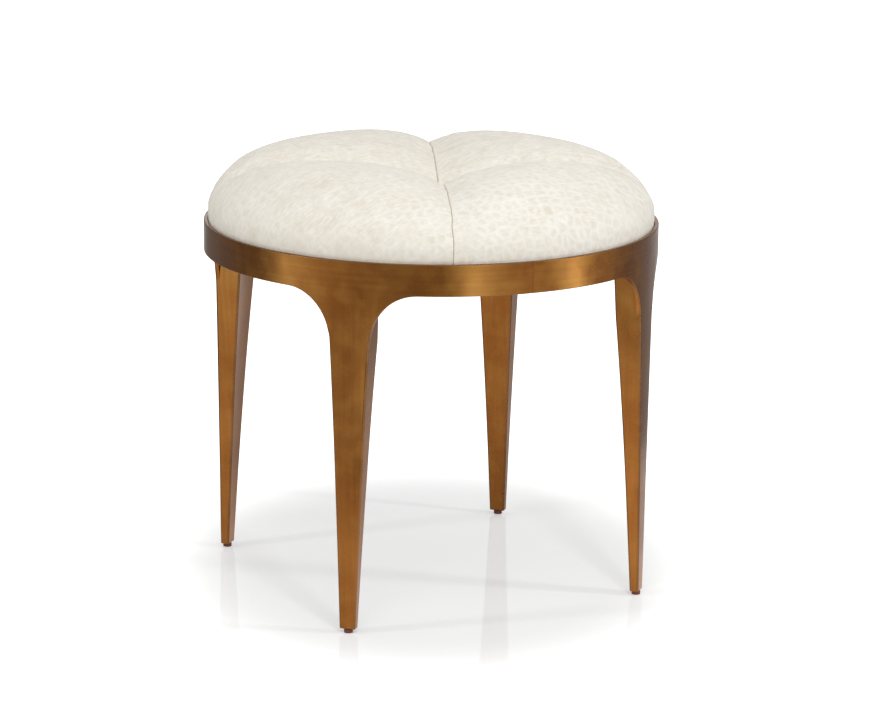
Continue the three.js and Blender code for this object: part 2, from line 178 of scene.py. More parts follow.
def antique_brass(name, dark, middle, golden, roughness, mapped=True):
    material, shader, place = new_material(name)
    flat = add(material, "UVMap", uv_map="brushing") if mapped else place
    cloud, stain = (add(material, "TexNoise", {"Vector": place, "Scale": 1 / size})
                    for size in (cloud_size, stain_size))
    colour = blend_colours(material, ramp_between(material, cloud, 0.36, 0.62), dark, middle)
    gilt = ramp_between(material, stain, 0.45, 0.78, 0, 0.5)
    colour = blend_colours(material, gilt, colour, golden)
    scales = (1 / band_width, 1 / band_length, 1), (1 / band_length, 1 / band_width, 1)
    ways = [add(material, "Mapping", {"Vector": flat, "Scale": scale}) for scale in scales]
    upwards, round_ring = (add(material, "TexNoise", {"Vector": way, "Scale": 1}) for way in ways)
    height = add(material, "SeparateXYZ", {0: flat}).outputs[1]
    on_ring = ramp_between(material, height, bands_turn_low, bands_turn_high)
    lines = add(material, "Mix", {0: on_ring, 2: upwards, 3: round_ring})
    colour = blend_colours(material, ramp_between(material, lines, 0.3, 0.7, 0, 0.26), colour, "#5a3519")
    cells = add(material, "TexVoronoi", {"Vector": place, "Scale": 1 / pit_spacing})
    chance = add(material, "SeparateXYZ", {0: cells.outputs["Color"]})
    near = ramp_between(material, cells, 0.04, 0.075, 1, 0)
    chosen = ramp_between(material, chance, 0.86, 0.87)
    pit = add(material, "Math", {0: chosen, 1: near}, operation="MULTIPLY")
    relief = add(material, "Math", {0: lines, 1: pit}, operation="SUBTRACT")
    wear = ramp_between(material, stain, 0.3, 0.8, roughness - 0.05, roughness + 0.09)
    plug(material, shader, {"Base Color": blend_colours(material, pit, colour, "#2c180d"), "Metallic": 1,
                            "Roughness": wear, "Normal": bump(material, relief, 0.02 * mm)})
    return material


brass = antique_brass("antique_brass_belt_ground", "#7b4a20", "#875628", "#94662f", 0.27)
# The second brass goes on the rounded arrises and the splice plates. On the arrises it is partly wear and
# partly painted light: its duller, greyer tone stands in for the soft highlight and thin dark line that
# the rounded edges show.
edge_wear_light_and_strip_tones = "#6b4627", "#78512e", "#845f3a", 0.36
arris_wear_and_light_brass = antique_brass("antique_brass_arris_wear_and_painted_light", *edge_wear_light_and_strip_tones)
strip_brass = antique_brass("antique_brass_rolled_strip", *edge_wear_light_and_strip_tones, mapped=False)
print("brass materials:", brass.name, arris_wear_and_light_brass.name, strip_brass.name)

# %% [markdown]
# ## Other hard materials
# The bolts, washers, nuts and screws are zinc-plated steel, which has a bluish bloom from the
# plating bath. The glides are injection-moulded nylon in a dark red-brown, a little dull from the
# mould. The deck is birch plywood: 1.4 mm veneers pressed together, so its edge is striped in height
# and its faces show long grain.

# %% Zinc-plated steel, moulded nylon and birch plywood
def zinc_plated_steel():
    material, shader, place = new_material("zinc_plated_steel")
    bloom = add(material, "TexNoise", {"Vector": place, "Scale": 1 / (4 * mm), "Detail": 4})
    tint = ramp_between(material, bloom, 0.35, 0.65)
    plug(material, shader, {"Base Color": blend_colours(material, tint, "#a9adb4", "#c2c0b2"),
                            "Roughness": ramp_between(material, bloom, 0.3, 0.7, 0.28, 0.42),
                            "Metallic": 1})
    return material


def moulded_nylon():
    material, shader, place = new_material("moulded_brown_nylon")
    grain = add(material, "TexNoise", {"Vector": place, "Scale": 1 / (0.9 * mm), "Detail": 3})
    tint = ramp_between(material, grain, 0.3, 0.7)
    plug(material, shader, {"Base Color": blend_colours(material, tint, "#571f0e", "#743217"),
                            "Roughness": ramp_between(material, grain, 0.3, 0.7, 0.42, 0.55),
                            "Normal": bump(material, grain, 0.03 * mm)})
    return material


def birch_plywood():
    """Grain 120 mm long and 5 mm wide on the faces, and a light and a dark veneer every 2.8 mm."""
    material, shader, place = new_material("birch_veneer_ply")
    long = (1 / (120 * mm), 1 / (5 * mm), 1 / (5 * mm))
    long = add(material, "Mapping", {"Vector": place, "Scale": long})
    grain = add(material, "TexNoise", {"Vector": long, "Scale": 1, "Detail": 6, "Distortion": 0.4})
    layers = add(material, "Mapping", {"Vector": place, "Scale": (0, 0, 1 / (2.8 * mm))})
    ply = add(material, "TexWave", {"Vector": layers, "Scale": 1 / math.tau}, bands_direction="Z")
    normal = add(material, "NewGeometry").outputs["Normal"]
    upwards = add(material, "SeparateXYZ", {0: normal}).outputs[2]
    facing = add(material, "Math", {0: upwards}, operation="ABSOLUTE")
    on_edge = ramp_between(material, facing, 0.3, 0.6, 1, 0)
    striped = add(material, "Math", {0: on_edge, 1: ply.outputs["Fac"]}, operation="MULTIPLY")
    colour = blend_colours(material, ramp_between(material, grain, 0.3, 0.7), "#c8a26c", "#e0c391")
    plug(material, shader, {"Base Color": blend_colours(material, striped, colour, "#8f6a3e"),
                            "Roughness": 0.62, "Normal": bump(material, grain, 0.1 * mm)})
    return material


steel, nylon, plywood = zinc_plated_steel(), moulded_nylon(), birch_plywood()
print("hard materials:", steel.name, nylon.name, plywood.name)

# %% [markdown]
# ## Velvet
# The seat is covered with an ivory velvet whose pile is pressed into a net of flat, paler lines,
# like fine crackle, with cells about 12 mm wide. Handling has crushed the rest of the pile into
# cloudy tufts and has left short pale strokes on the top, while the net shows best at the front,
# where the seat is rubbed, and the pile lies smoother at the right. The pattern follows a map of
# the flat cloth, so it wraps over the rolled edge as the real cloth does. Velvet has a soft sheen,
# because its pile stands up to the light.

# %% Velvet
cell_width, cell_stray = 12.5 * mm, 3.2 * mm
crush_size, tuft_size = 24 * mm, 4.5 * mm
stroke_length, stroke_width, stroke_turn = 11 * mm, 3 * mm, math.radians(-25)
rubbed_place = (33 * mm, -226 * mm, 430 * mm)
smooth_place = (231 * mm, -109 * mm, 440 * mm)
strokes_from, strokes_full = 432 * mm, 462 * mm


def net_of_lines(material, bent, flat, place):
    """Where the pressed lines run, and how clear the net is there."""
    net = add(material, "TexVoronoi", {"Vector": bent, "Scale": 1 / cell_width, "Randomness": 0.75},
              feature="DISTANCE_TO_EDGE", voronoi_dimensions="2D")
    line = ramp_between(material, net, 0.02, 0.3, 1, 0)
    shown = add(material, "TexNoise", {"Vector": flat, "Scale": 1 / (60 * mm)})
    away = add(material, "VectorMath", {0: place, 1: rubbed_place}, operation="DISTANCE")
    rubbed = ramp_between(material, away.outputs["Value"], 40 * mm, 230 * mm, 0.22, -0.1)
    shown = add(material, "Math", {0: shown, 1: rubbed}, operation="ADD")
    return line, ramp_between(material, shown, 0.38, 0.75, 0.14, 0.64)


def ivory_velvet():
    material, shader, place = new_material("ivory_velvet_crackle")
    flat = add(material, "UVMap", uv_map="cloth")
    wander = add(material, "TexNoise", {"Vector": flat, "Scale": 1 / (9 * mm)}).outputs["Color"]
    wander = add(material, "VectorMath", {0: wander, 1: (0.5,) * 3}, operation="SUBTRACT")
    bent = add(material, "VectorMath", {0: wander, 1: (cell_stray,) * 3, 2: flat},
               operation="MULTIPLY_ADD")
    crush = add(material, "TexNoise", {"Vector": flat, "Scale": 1 / crush_size, "Detail": 6,
                                       "Roughness": 0.66, "Distortion": 0.8})
    tuft = add(material, "TexNoise", {"Vector": flat, "Scale": 1 / tuft_size, "Detail": 3,
                                      "Roughness": 0.7})
    swept = add(material, "Mapping", {"Vector": bent, "Rotation": (0, 0, stroke_turn),
                                      "Scale": (1 / stroke_length, 1 / stroke_width, 1)})
    stroke = add(material, "TexNoise", {"Vector": swept, "Scale": 1, "Detail": 3, "Roughness": 0.6,
                                        "Distortion": 0.6})
    line, clear = net_of_lines(material, bent, flat, place)
    unworn = ramp_between(material, tuft, 0.34, 0.6, 0.35, 1)
    clear = add(material, "Math", {0: clear, 1: unworn}, operation="MULTIPLY")
    drawn = add(material, "Math", {0: line, 1: clear}, operation="MULTIPLY")

    colour = blend_colours(material, ramp_between(material, crush, 0.33, 0.67), "#e6decf", "#f3efe5")
    beside = add(material, "VectorMath", {0: place, 1: smooth_place}, operation="DISTANCE")
    ruffled = ramp_between(material, beside.outputs["Value"], 20 * mm, 260 * mm, 0.15, 0.45)
    shade = ramp_between(material, tuft, 0.35, 0.7, 0, ruffled)
    colour = blend_colours(material, shade, colour, "#dbd3c3")
    level = add(material, "SeparateXYZ", {0: place}).outputs[2]
    on_top = ramp_between(material, level, strokes_from, strokes_full, 0.25, 1)
    light = ramp_between(material, stroke, 0.46, 0.68, 0, 0.6)
    light = add(material, "Math", {0: light, 1: on_top}, operation="MULTIPLY")
    colour = blend_colours(material, light, colour, "#fbf9f3")
    pile = add(material, "Math", {0: tuft, 1: 0.5, 2: crush}, operation="MULTIPLY_ADD")
    relief = add(material, "Math", {0: drawn, 1: -0.8, 2: pile}, operation="MULTIPLY_ADD")
    plug(material, shader, {"Base Color": blend_colours(material, drawn, colour, "#fbf9f4"),
                            "Normal": bump(material, relief, 0.6 * mm), "Roughness": 0.85,
                            "Specular IOR Level": 0.25, "Sheen Weight": 0.12, "Sheen Roughness": 0.45})
    return material


velvet = ivory_velvet()
print("cover:", velvet.name)

# %% [markdown]
# ## Foam, cambric and twine
# The foam is a cut polyurethane, yellowed in clouds, whose pores show as specks 1.8 mm apart. The
# dust cover is black cambric, a thin felt pressed with dots 3 mm apart. The tie is linen twine,
# whose fibres are spun in slubs of about a millimetre. All three are dull, and only the felt has
# a little sheen.

# %% Foam, cambric and twine
def cut_foam():
    material, shader, place = new_material("cut_upholstery_foam")
    pores = add(material, "TexVoronoi", {"Vector": place, "Scale": 1 / (1.8 * mm)})
    clouds = add(material, "TexNoise", {"Vector": place, "Scale": 1 / (60 * mm), "Detail": 3})
    colour = blend_colours(material, ramp_between(material, clouds, 0.35, 0.65), "#e8dba8", "#efe6c2")
    specks = ramp_between(material, pores, 0.1, 0.4, 0.5, 0)
    plug(material, shader, {"Base Color": blend_colours(material, specks, colour, "#b9a66c"),
                            "Normal": bump(material, pores, 0.4 * mm), "Roughness": 0.95})
    return material


def black_cambric():
    material, shader, place = new_material("black_cambric_felt")
    fibres = add(material, "TexNoise", {"Vector": place, "Scale": 1 / (2.2 * mm), "Detail": 5,
                                        "Distortion": 1.5})
    dots = add(material, "TexVoronoi", {"Vector": place, "Scale": 1 / (3 * mm), "Randomness": 0.1})
    colour = blend_colours(material, ramp_between(material, fibres, 0.35, 0.7), "#1d1d20", "#3a3a3f")
    pressed = ramp_between(material, dots, 0.16, 0.24, 0.6, 0)
    plug(material, shader, {"Base Color": blend_colours(material, pressed, colour, "#111113"),
                            "Normal": bump(material, dots, 0.15 * mm), "Roughness": 0.9,
                            "Sheen Weight": 0.2})
    return material


def linen_twine():
    material, shader, place = new_material("linen_twine_two_ply")
    slub = add(material, "TexNoise", {"Vector": place, "Scale": 1 / (1.2 * mm), "Detail": 4})
    tint = ramp_between(material, slub, 0.3, 0.7)
    plug(material, shader, {"Base Color": blend_colours(material, tint, "#b9ab88", "#ddd2b6"),
                            "Normal": bump(material, slub, 0.2 * mm), "Roughness": 0.9})
    return material


foam_stuff, cambric, twine = cut_foam(), black_cambric(), linen_twine()
print("under the cover:", foam_stuff.name, cambric.name, twine.name)

# %% [markdown]
# ## Helpers for pieces
# Every new piece is a mesh whose object stays at the origin, so its place is in its points. It rides
# on a body of the frame and says which solid it stands for. Edges sharper than a set angle stay
# crisp, and everything else is shaded smooth.

# %% Piece helpers
def make_piece(name, bm, materials, body, stands_for=(), crisp=35):
    """Turns a bmesh into a finished piece that rides on a body and replaces solids."""
    mesh = bpy.data.meshes.new(name)
    bm.to_mesh(mesh)
    bm.free()
    for material in materials:
        mesh.materials.append(material)
    mesh.shade_smooth()
    mesh.set_sharp_from_angle(angle=math.radians(crisp))
    piece = bpy.data.objects.new(name, mesh)
    bpy.context.scene.collection.objects.link(piece)
    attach(piece, body)
    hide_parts(*stands_for)
    return piece


def among(made, kind):
    """The points, edges or faces among what an operator made."""
    return [item for item in made["geom"] if isinstance(item, kind)]


def move(bm, step, verts=None):
    """Moves the whole bmesh, or some of its points."""
    bmesh.ops.translate(bm, verts=verts or bm.verts, vec=step)


def turn(bm, degrees, verts=None, axis="Z"):
    """Turns the whole bmesh, or some of its points, about an axis through the origin."""
    matrix = Matrix.Rotation(math.radians(degrees), 3, axis)
    bmesh.ops.rotate(bm, verts=verts or bm.verts, cent=(0, 0, 0), matrix=matrix)


def patch(bm, columns, rows, place):
    """A sheet of quads; the point at shares u, v of its two sides goes to place(u, v)."""
    for vert in bmesh.ops.create_grid(bm, x_segments=columns, y_segments=rows, size=0.5)["verts"]:
        vert.co = place(vert.co.x + 0.5, vert.co.y + 0.5)


def face_along(bm, axis):
    """Turns a sheet's faces so that they point along an axis."""
    bm.normal_update()
    if sum(face.normal[axis] for face in bm.faces) < 0:
        bmesh.ops.reverse_faces(bm, faces=bm.faces)


def turned(profile, steps, away=0.0):
    """A turned piece on an upright axis, moved away along +X; its profile is (radius, height) pairs."""
    bm = bmesh.new()
    verts = [bm.verts.new((radius, 0, height)) for radius, height in profile]
    edges = [bm.edges.new(pair) for pair in zip(verts, verts[1:])]
    bmesh.ops.spin(bm, geom=verts + edges, cent=(0, 0, 0), axis=(0, 0, 1), angle=math.tau,
                   steps=steps, use_merge=True)
    bmesh.ops.remove_doubles(bm, verts=bm.verts, dist=0.001 * mm)
    bmesh.ops.recalc_face_normals(bm, faces=bm.faces)
    move(bm, (away, 0, 0))
    return bm


def thicken(piece, name, thickness):
    """Gives a sheet its thickness, all of it on the inside."""
    thick = piece.modifiers.new(name, "SOLIDIFY")
    thick.thickness = thickness
    thick.offset = -1


def smooth_step(value, low, high):
    """0 up to low, 1 from high, and an even ease between."""
    share = min(max((value - low) / (high - low), 0), 1)
    return share * share * (3 - 2 * share)


# %% [markdown]
# ## The castings
# Each casting is a leg whose head spreads through a fillet into a quarter of the ring. The ring and
# the fillet are a wall 5 mm thick, flush with the leg's outer face, and the leg's rib stands
# behind them. It is drawn first as a flat sheet in width and height: one patch up the leg, one
# for the head and one for each arm of the ring. Two extrusions give the wall and the rib, and the
# whole is then bent round the ring. A bevel whose width changes from edge to edge gives the leg
# its rounded 2.3 mm arrises and the ring its tighter ones, as filing would.

# %% Casting sizes
ring_radius, ring_wall = 260 * mm, 5 * mm
ring_top, ring_bottom = 420 * mm, 385 * mm
joint_gap = 0.06 * mm
fillet_width, fillet_height = 52 * mm, 58 * mm
fillet_level = ring_bottom - fillet_height
leg_bottom = 4.8 * mm
leg_widths = (18.5 * mm, 32 * mm, 46 * mm)
leg_depths = (10.5 * mm, 20 * mm, 30 * mm)
band_depth = 33.5 * mm
middle_share = 0.55
rib_top = 401.2 * mm
lug_bottom = 393.2 * mm
bolt_circle = 205 * mm
foot_circle = ring_radius - leg_depths[0] / 2
leg_columns, leg_rows = 6, 26
head_rows = 8
fillet_columns, arm_columns = 14, 18
halvings = 30


def bowed(low, middle, high, share):
    """A quadratic curve from low to high that passes the middle value half-way."""
    control = 2 * middle - (low + high) / 2
    return (1 - share) ** 2 * low + 2 * share * (1 - share) * control + share ** 2 * high


def leg_height(share):
    middle = leg_bottom + (fillet_level - leg_bottom) * middle_share
    return bowed(leg_bottom, middle, fillet_level, share)


def leg_share(height):
    """The share of the way up the leg's curve at a height, found by halving."""
    low, high = 0.0, 1.0
    for _ in range(halvings):
        half = (low + high) / 2
        low, high = (half, high) if leg_height(half) < height else (low, half)
    return (low + high) / 2


def leg_depth(height):
    """The leg's curve up to the fillets, and a straight swell from there to the band."""
    swell = min(max((height - fillet_level) / fillet_height, 0), 1) * (band_depth - leg_depths[2])
    return bowed(*leg_depths, leg_share(min(height, fillet_level))) + swell


half_way = [round(bowed(*sizes, 0.5) / mm, 1) for sizes in (leg_widths, leg_depths)]
print("leg width and depth half-way up:", half_way)


# %% The casting's flat sheet
def leg_point(u, v):
    return Vector((0, (2 * u - 1) * bowed(*leg_widths, v) / 2, leg_height(v)))


def head_point(u, v):
    return Vector((0, (2 * u - 1) * leg_widths[2] / 2, fillet_level + (ring_top - fillet_level) * v))


def arm_point(u, v):
    """A point of the right arm: u runs out from the leg, v up from its lower edge."""
    arm_end = ring_radius * math.sin(math.radians(45)) - joint_gap
    fillet_share = fillet_columns / (fillet_columns + arm_columns)
    inner = leg_widths[2] / 2
    if u <= fillet_share:
        angle = u / fillet_share * math.pi / 2
        level = fillet_level + fillet_height * math.sin(angle)
        low = Vector((0, inner + fillet_width * (1 - math.cos(angle)), level))
        high = Vector((0, inner + fillet_width * u / fillet_share, ring_top))
    else:
        rest = (u - fillet_share) / (1 - fillet_share)
        along = inner + fillet_width + (arm_end - inner - fillet_width) * rest
        low, high = Vector((0, along, ring_bottom)), Vector((0, along, ring_top))
    return low.lerp(high, v)


def casting_sheet():
    bm = bmesh.new()
    patch(bm, leg_columns, leg_rows, leg_point)
    patch(bm, leg_columns, head_rows, head_point)
    patch(bm, fillet_columns + arm_columns, head_rows, arm_point)
    patch(bm, fillet_columns + arm_columns, head_rows, lambda u, v: arm_point(u, v) * Vector((1, -1, 1)))
    bmesh.ops.remove_doubles(bm, verts=bm.verts, dist=0.02 * mm)
    bmesh.ops.recalc_face_normals(bm, faces=bm.faces)
    face_along(bm, 0)
    return bm


test = casting_sheet()
print("casting sheet:", len(test.verts), "points,", len(test.faces), "faces")
test.free()


# %% [markdown]
# The sheet faces outwards. The first extrusion moves its copy back by the wall's thickness, and the
# second moves only the leg's part of that copy back to the rib's depth. While the piece is
# still flat, its x is minus the depth, so the map for the belt lines is easy to fill in. The
# roundings are read off there too: none in the hollow of the fillet, a hairline at the butt joints,
# 2.3 mm down the leg's corners and under 1 mm on the ring.

# %% Thicken, map and bend the casting
top_rounding, joint_rounding, foot_rounding, widest_rounding = 0.9 * mm, 0.15 * mm, 1.3 * mm, 3 * mm
leg_rounding, rib_end_rounding, ring_rounding = 2.3 * mm, 1 * mm, 0.6 * mm
arm_end_from = 183 * mm
rounding_fades = fillet_level + 12 * mm, fillet_level + 42 * mm
least_crease = math.radians(25)
rib_end = rib_top - 5 * mm
joint_squares_to = 0.69
close = 0.1 * mm


def edge_rounding(edge):
    """How far the filing takes an edge back: 0 where it is left as cast."""
    first, second = (vert.co for vert in edge.verts)
    middle = (first + second) / 2
    depth, height, across = -middle.x, middle.z, abs(middle.y)
    if len(edge.link_faces) != 2 or edge.calc_face_angle_signed(0) < least_crease:
        return 0
    if height > ring_top - close:
        return top_rounding
    if across > arm_end_from and abs(first.z - second.z) > 1 * mm:
        return joint_rounding
    if height < leg_bottom + close:
        return foot_rounding
    if depth > ring_wall + close:
        return leg_rounding if height < rib_end else rib_end_rounding
    low = leg_rounding if depth < close else 0
    return low + (ring_rounding - low) * smooth_step(height, *rounding_fades)


def bend_round_ring(point):
    """From flat width, height and depth to the leg's place on the ring, leg at +X."""
    depth, width = -point.x, point.y
    in_wall = min(depth, ring_wall)
    squared = smooth_step(abs(width), leg_widths[2] / 2 + fillet_width, ring_radius * joint_squares_to)
    width *= 1 - squared * in_wall / ring_radius
    outwards = math.sqrt((ring_radius - in_wall) ** 2 - width ** 2) - (depth - in_wall)
    return Vector((outwards, width, point.z))


def is_rib(face):
    """Whether a face of the sheet's back is the leg's own, which goes on back as the rib."""
    middle, reach = face.calc_center_median(), leg_widths[2] / 2
    return (middle.z < rib_end and abs(middle.y) < reach
            and all(abs(vert.co.y) < reach + close for vert in face.verts))


def casting():
    bm = casting_sheet()
    made = bmesh.ops.extrude_face_region(bm, geom=bm.faces[:])
    for vert in among(made, BMVert):
        vert.co.x = -ring_wall
    rib = [face for face in among(made, BMFace) if is_rib(face)]
    made = bmesh.ops.extrude_face_region(bm, geom=rib)
    for vert in among(made, BMVert):
        vert.co.x = -leg_depth(vert.co.z)
    bmesh.ops.delete(bm, geom=rib, context="FACES")
    bmesh.ops.recalc_face_normals(bm, faces=bm.faces)
    weights = bm.edges.layers.float.new("bevel_weight_edge")
    for edge in bm.edges:
        edge[weights] = edge_rounding(edge) / widest_rounding
    flat = bm.loops.layers.uv.new("brushing")
    for face in bm.faces:
        side = 1 if face.calc_center_median().y > 0 else -1
        for loop in face.loops:
            point = loop.vert.co
            loop[flat].uv = (point.y - point.x * side, point.z)
    for vert in bm.verts:
        vert.co = bend_round_ring(vert.co)
    return bm


# %% [markdown]
# A lug inside each leg's head carries the seat bolt. It starts as two rings of points, one round
# the bolt hole and one round the rim; the rim's outer half is pulled straight back to the rib. A
# turned boss on top lifts the bolt's seat to the underside of the deck.

# %% Lug and boss
lug_reach, lug_radius, lug_rounding = 30 * mm, 15 * mm, 0.8 * mm
boss_radius, boss_top, boss_sunk, boss_rounding = 9 * mm, 403.7 * mm, 1 * mm, 0.5 * mm
hole_radius = 3.3 * mm


def join(bm, other):
    """Adds another bmesh to this one and frees it."""
    mesh = bpy.data.meshes.new("joining")
    other.to_mesh(mesh)
    other.free()
    bm.from_mesh(mesh)
    bpy.data.meshes.remove(mesh)


def mark_rounding(bm, width):
    """Gives every crisp edge the same rounding."""
    weights = bm.edges.layers.float.new("bevel_weight_edge")
    for edge in bm.edges:
        if len(edge.link_faces) == 2 and edge.calc_face_angle(0) > math.radians(35):
            edge[weights] = width / widest_rounding


def lug():
    bm = bmesh.new()
    rim, _ = (bmesh.ops.create_circle(bm, segments=32, radius=radius)["verts"]
              for radius in (lug_radius, hole_radius))
    for vert in rim:
        if vert.co.x > close:
            vert.co.x = lug_reach
    bmesh.ops.bridge_loops(bm, edges=bm.edges[:])
    made = bmesh.ops.extrude_face_region(bm, geom=bm.faces[:])
    move(bm, (0, 0, rib_top - lug_bottom), among(made, BMVert))
    bmesh.ops.recalc_face_normals(bm, faces=bm.faces)
    move(bm, (bolt_circle, 0, lug_bottom))
    mark_rounding(bm, lug_rounding)
    low = rib_top - boss_sunk
    section = [(hole_radius, low), (boss_radius, low), (boss_radius, boss_top), (hole_radius, boss_top)]
    boss = turned(section + section[:1], 32, bolt_circle)
    mark_rounding(boss, boss_rounding)
    join(bm, boss)
    return bm


def round_edges(piece):
    """Live rounding by each edge's own width, in the second brass (partly edge wear, partly painted edge
    light), with flat faces kept flat.
    """
    bevel = piece.modifiers.new("filed arrises", "BEVEL")
    bevel.limit_method = "WEIGHT"
    bevel.width = widest_rounding
    bevel.segments = 3
    bevel.use_clamp_overlap = False
    # The rounded faces take the second brass: partly edge wear, partly painted edge light.
    bevel.material = 1
    even = piece.modifiers.new("even shading", "WEIGHTED_NORMAL")
    even.keep_sharp = True


for corner, degrees in corners.items():
    bm = casting()
    join(bm, lug())
    turn(bm, degrees)
    piece = make_piece(f"brass_leg_{corner}", bm, [brass, arris_wear_and_light_brass], "frame",
                       [f"leg_casting_{corner}"], 50)
    round_edges(piece)
print("castings:", len(piece.data.polygons), "faces each before rounding")

# %% [markdown]
# ## Screws, bolts and washers
# One rule makes them all: a profile is turned on an axis, the head is left open in the middle, and
# a ring of six points is bridged to that opening and pushed in for the hex key. The M6 seat bolts
# stand upright with their heads below the lugs. The M4 splice screws point outwards into the ring.

# %% Screws, bolts and washers
bolt_sizes = {"head_radius": 6 * mm, "head_height": 3.5 * mm, "key_radius": 2.2 * mm, "key_depth": 2 * mm,
              "shank_radius": 3 * mm}
screw_sizes = {"head_radius": 3.6 * mm, "head_height": 1.8 * mm, "key_radius": 1.3 * mm,
               "key_depth": 1.1 * mm, "shank_radius": 2 * mm, "length": 7.7 * mm}
washer_hole, washer_radius, washer_chamfer = 3.3 * mm, 8 * mm, 0.3 * mm
bolt_play = 0.3 * mm
washer_top = lug_bottom - bolt_play
washer_bottom = washer_top - 1.6 * mm
bolt_seat, bolt_tip = washer_bottom - bolt_play, 417.5 * mm
splice_level, splice_inner_radius, screw_circle = 393.5 * mm, 250.7 * mm, 255 * mm
screw_places = (-11.8 * mm, -27.8 * mm, 11.8 * mm, 27.8 * mm)


def socket_screw(head_radius, head_height, key_radius, key_depth, shank_radius, length):
    """A screw along +Z whose head starts at height 0 and whose tip is at its length."""
    chamfer = head_height * 0.15
    bm = turned([(key_radius * 1.15, 0), (head_radius - chamfer, 0), (head_radius, chamfer),
                 (head_radius, head_height), (shank_radius, head_height),
                 (shank_radius, length - chamfer), (shank_radius - chamfer, length), (0, length)], 24)
    rim = [edge for edge in bm.edges if edge.is_boundary]
    six = bmesh.ops.create_circle(bm, segments=6, radius=key_radius)["verts"]
    six_edges = list({edge for vert in six for edge in vert.link_edges})
    bmesh.ops.bridge_loops(bm, edges=rim + six_edges)
    made = bmesh.ops.extrude_edge_only(bm, edges=six_edges)
    move(bm, (0, 0, key_depth), among(made, BMVert))
    bmesh.ops.edgeloop_fill(bm, edges=[edge for edge in among(made, BMEdge) if edge.is_boundary])
    bmesh.ops.recalc_face_normals(bm, faces=bm.faces)
    return bm


def washer():
    inner = washer_radius - washer_chamfer
    return turned([(washer_hole, washer_bottom), (inner, washer_bottom),
                   (washer_radius, washer_bottom + washer_chamfer),
                   (washer_radius, washer_top - washer_chamfer), (inner, washer_top),
                   (washer_hole, washer_top), (washer_hole, washer_bottom)], 32, bolt_circle)


def seat_bolt():
    bm = socket_screw(**bolt_sizes, length=bolt_tip - bolt_seat + bolt_sizes["head_height"])
    move(bm, (bolt_circle, 0, bolt_seat - bolt_sizes["head_height"]))
    return bm


def zinc_piece(name, bm, node, degrees):
    turn(bm, degrees)
    make_piece(f"zinc_{name}", bm, [steel], "frame", [node])


for corner, degrees in corners.items():
    zinc_piece(f"bolt_{corner}", seat_bolt(), f"seat_bolt_{corner}", degrees)
    zinc_piece(f"washer_{corner}", washer(), f"seat_bolt_washer_{corner}", degrees)

for side, degrees in sides.items():
    for number, place in enumerate(screw_places, 1):
        screw = socket_screw(**screw_sizes)
        turn(screw, 90, axis="Y")
        move(screw, (splice_inner_radius, 0, splice_level))
        zinc_piece(f"screw_{side}_{number}", screw, f"splice_screw_{side}_{number}",
                   degrees + math.degrees(place / screw_circle))

# %% [markdown]
# ## Glides
# A levelling glide is a ribbed nylon pad moulded on an M5 stud that screws up into the foot. The
# pad starts as a circle whose points step in and out 20 times, so that it can be gripped, and is
# then extruded and chamfered. The stud's thread is turned as rings 0.8 mm apart.

# %% Glides
pad_radius, pad_height, pad_ribs, rib_depth, pad_rounding = 5 * mm, 4.5 * mm, 20, 0.4 * mm, 0.45 * mm
stud_bottom, stud_top, stud_radius = 2.3 * mm, 24.3 * mm, 2.5 * mm
thread_pitch, thread_depth = 0.8 * mm, 0.45 * mm


def ribbed_pad():
    bm = bmesh.new()
    bmesh.ops.create_circle(bm, cap_ends=True, segments=pad_ribs * 4, radius=1)
    for vert in bm.verts:
        wave = 0.5 - 0.5 * math.cos(math.atan2(vert.co.y, vert.co.x) * pad_ribs)
        vert.co = vert.co.normalized() * (pad_radius - rib_depth * wave)
    made = bmesh.ops.extrude_face_region(bm, geom=bm.faces[:])
    move(bm, (0, 0, pad_height), among(made, BMVert))
    bmesh.ops.recalc_face_normals(bm, faces=bm.faces)
    rims = [edge for edge in bm.edges if edge.calc_face_angle(0) > 1
            and abs(edge.verts[0].co.z - edge.verts[1].co.z) < close]
    bmesh.ops.bevel(bm, geom=rims, offset=pad_rounding, affect="EDGES", segments=2, profile=0.5,
                    material=-1, offset_type="OFFSET")
    return bm


def threaded_stud():
    turns = int((stud_top - stud_bottom) / thread_pitch)
    root = stud_radius - thread_depth
    profile = [(0, stud_bottom), (root, stud_bottom)]
    for number in range(turns):
        height = stud_bottom + number * thread_pitch
        profile += [(stud_radius, height + thread_pitch * 0.5), (root, height + thread_pitch)]
    return turned(profile + [(0, stud_bottom + turns * thread_pitch)], 20)


for corner, degrees in corners.items():
    foot, stud = ribbed_pad(), threaded_stud()
    for bm in (foot, stud):
        move(bm, (foot_circle, 0, 0))
        turn(bm, degrees)
    body = f"glide_{corner}"
    make_piece(f"nylon_pad_{corner}", foot, [nylon], body, [f"glide_pad_{corner}"])
    make_piece(f"steel_stud_{corner}", stud, [steel], body, [f"glide_stud_{corner}"])
print("glides:", len(corners), "pads and studs, each pair on its own body")

# %% [markdown]
# ## The seat's shape
# Two seams cross near the middle of the seat and part it into four puffs. The shape was worked out
# from the photograph's outline: the seams lie 56.5 mm above the widest level, each puff swells just
# under 20 mm above them within 124 mm, a tie pulls the crossing down, and the whole rolls over near
# the edge. The part's source has the same formula, so the cover sits where its solid does. Only
# here are cover and foam drawn in by 1.3 mm just above the ring, for the thin dark line there.

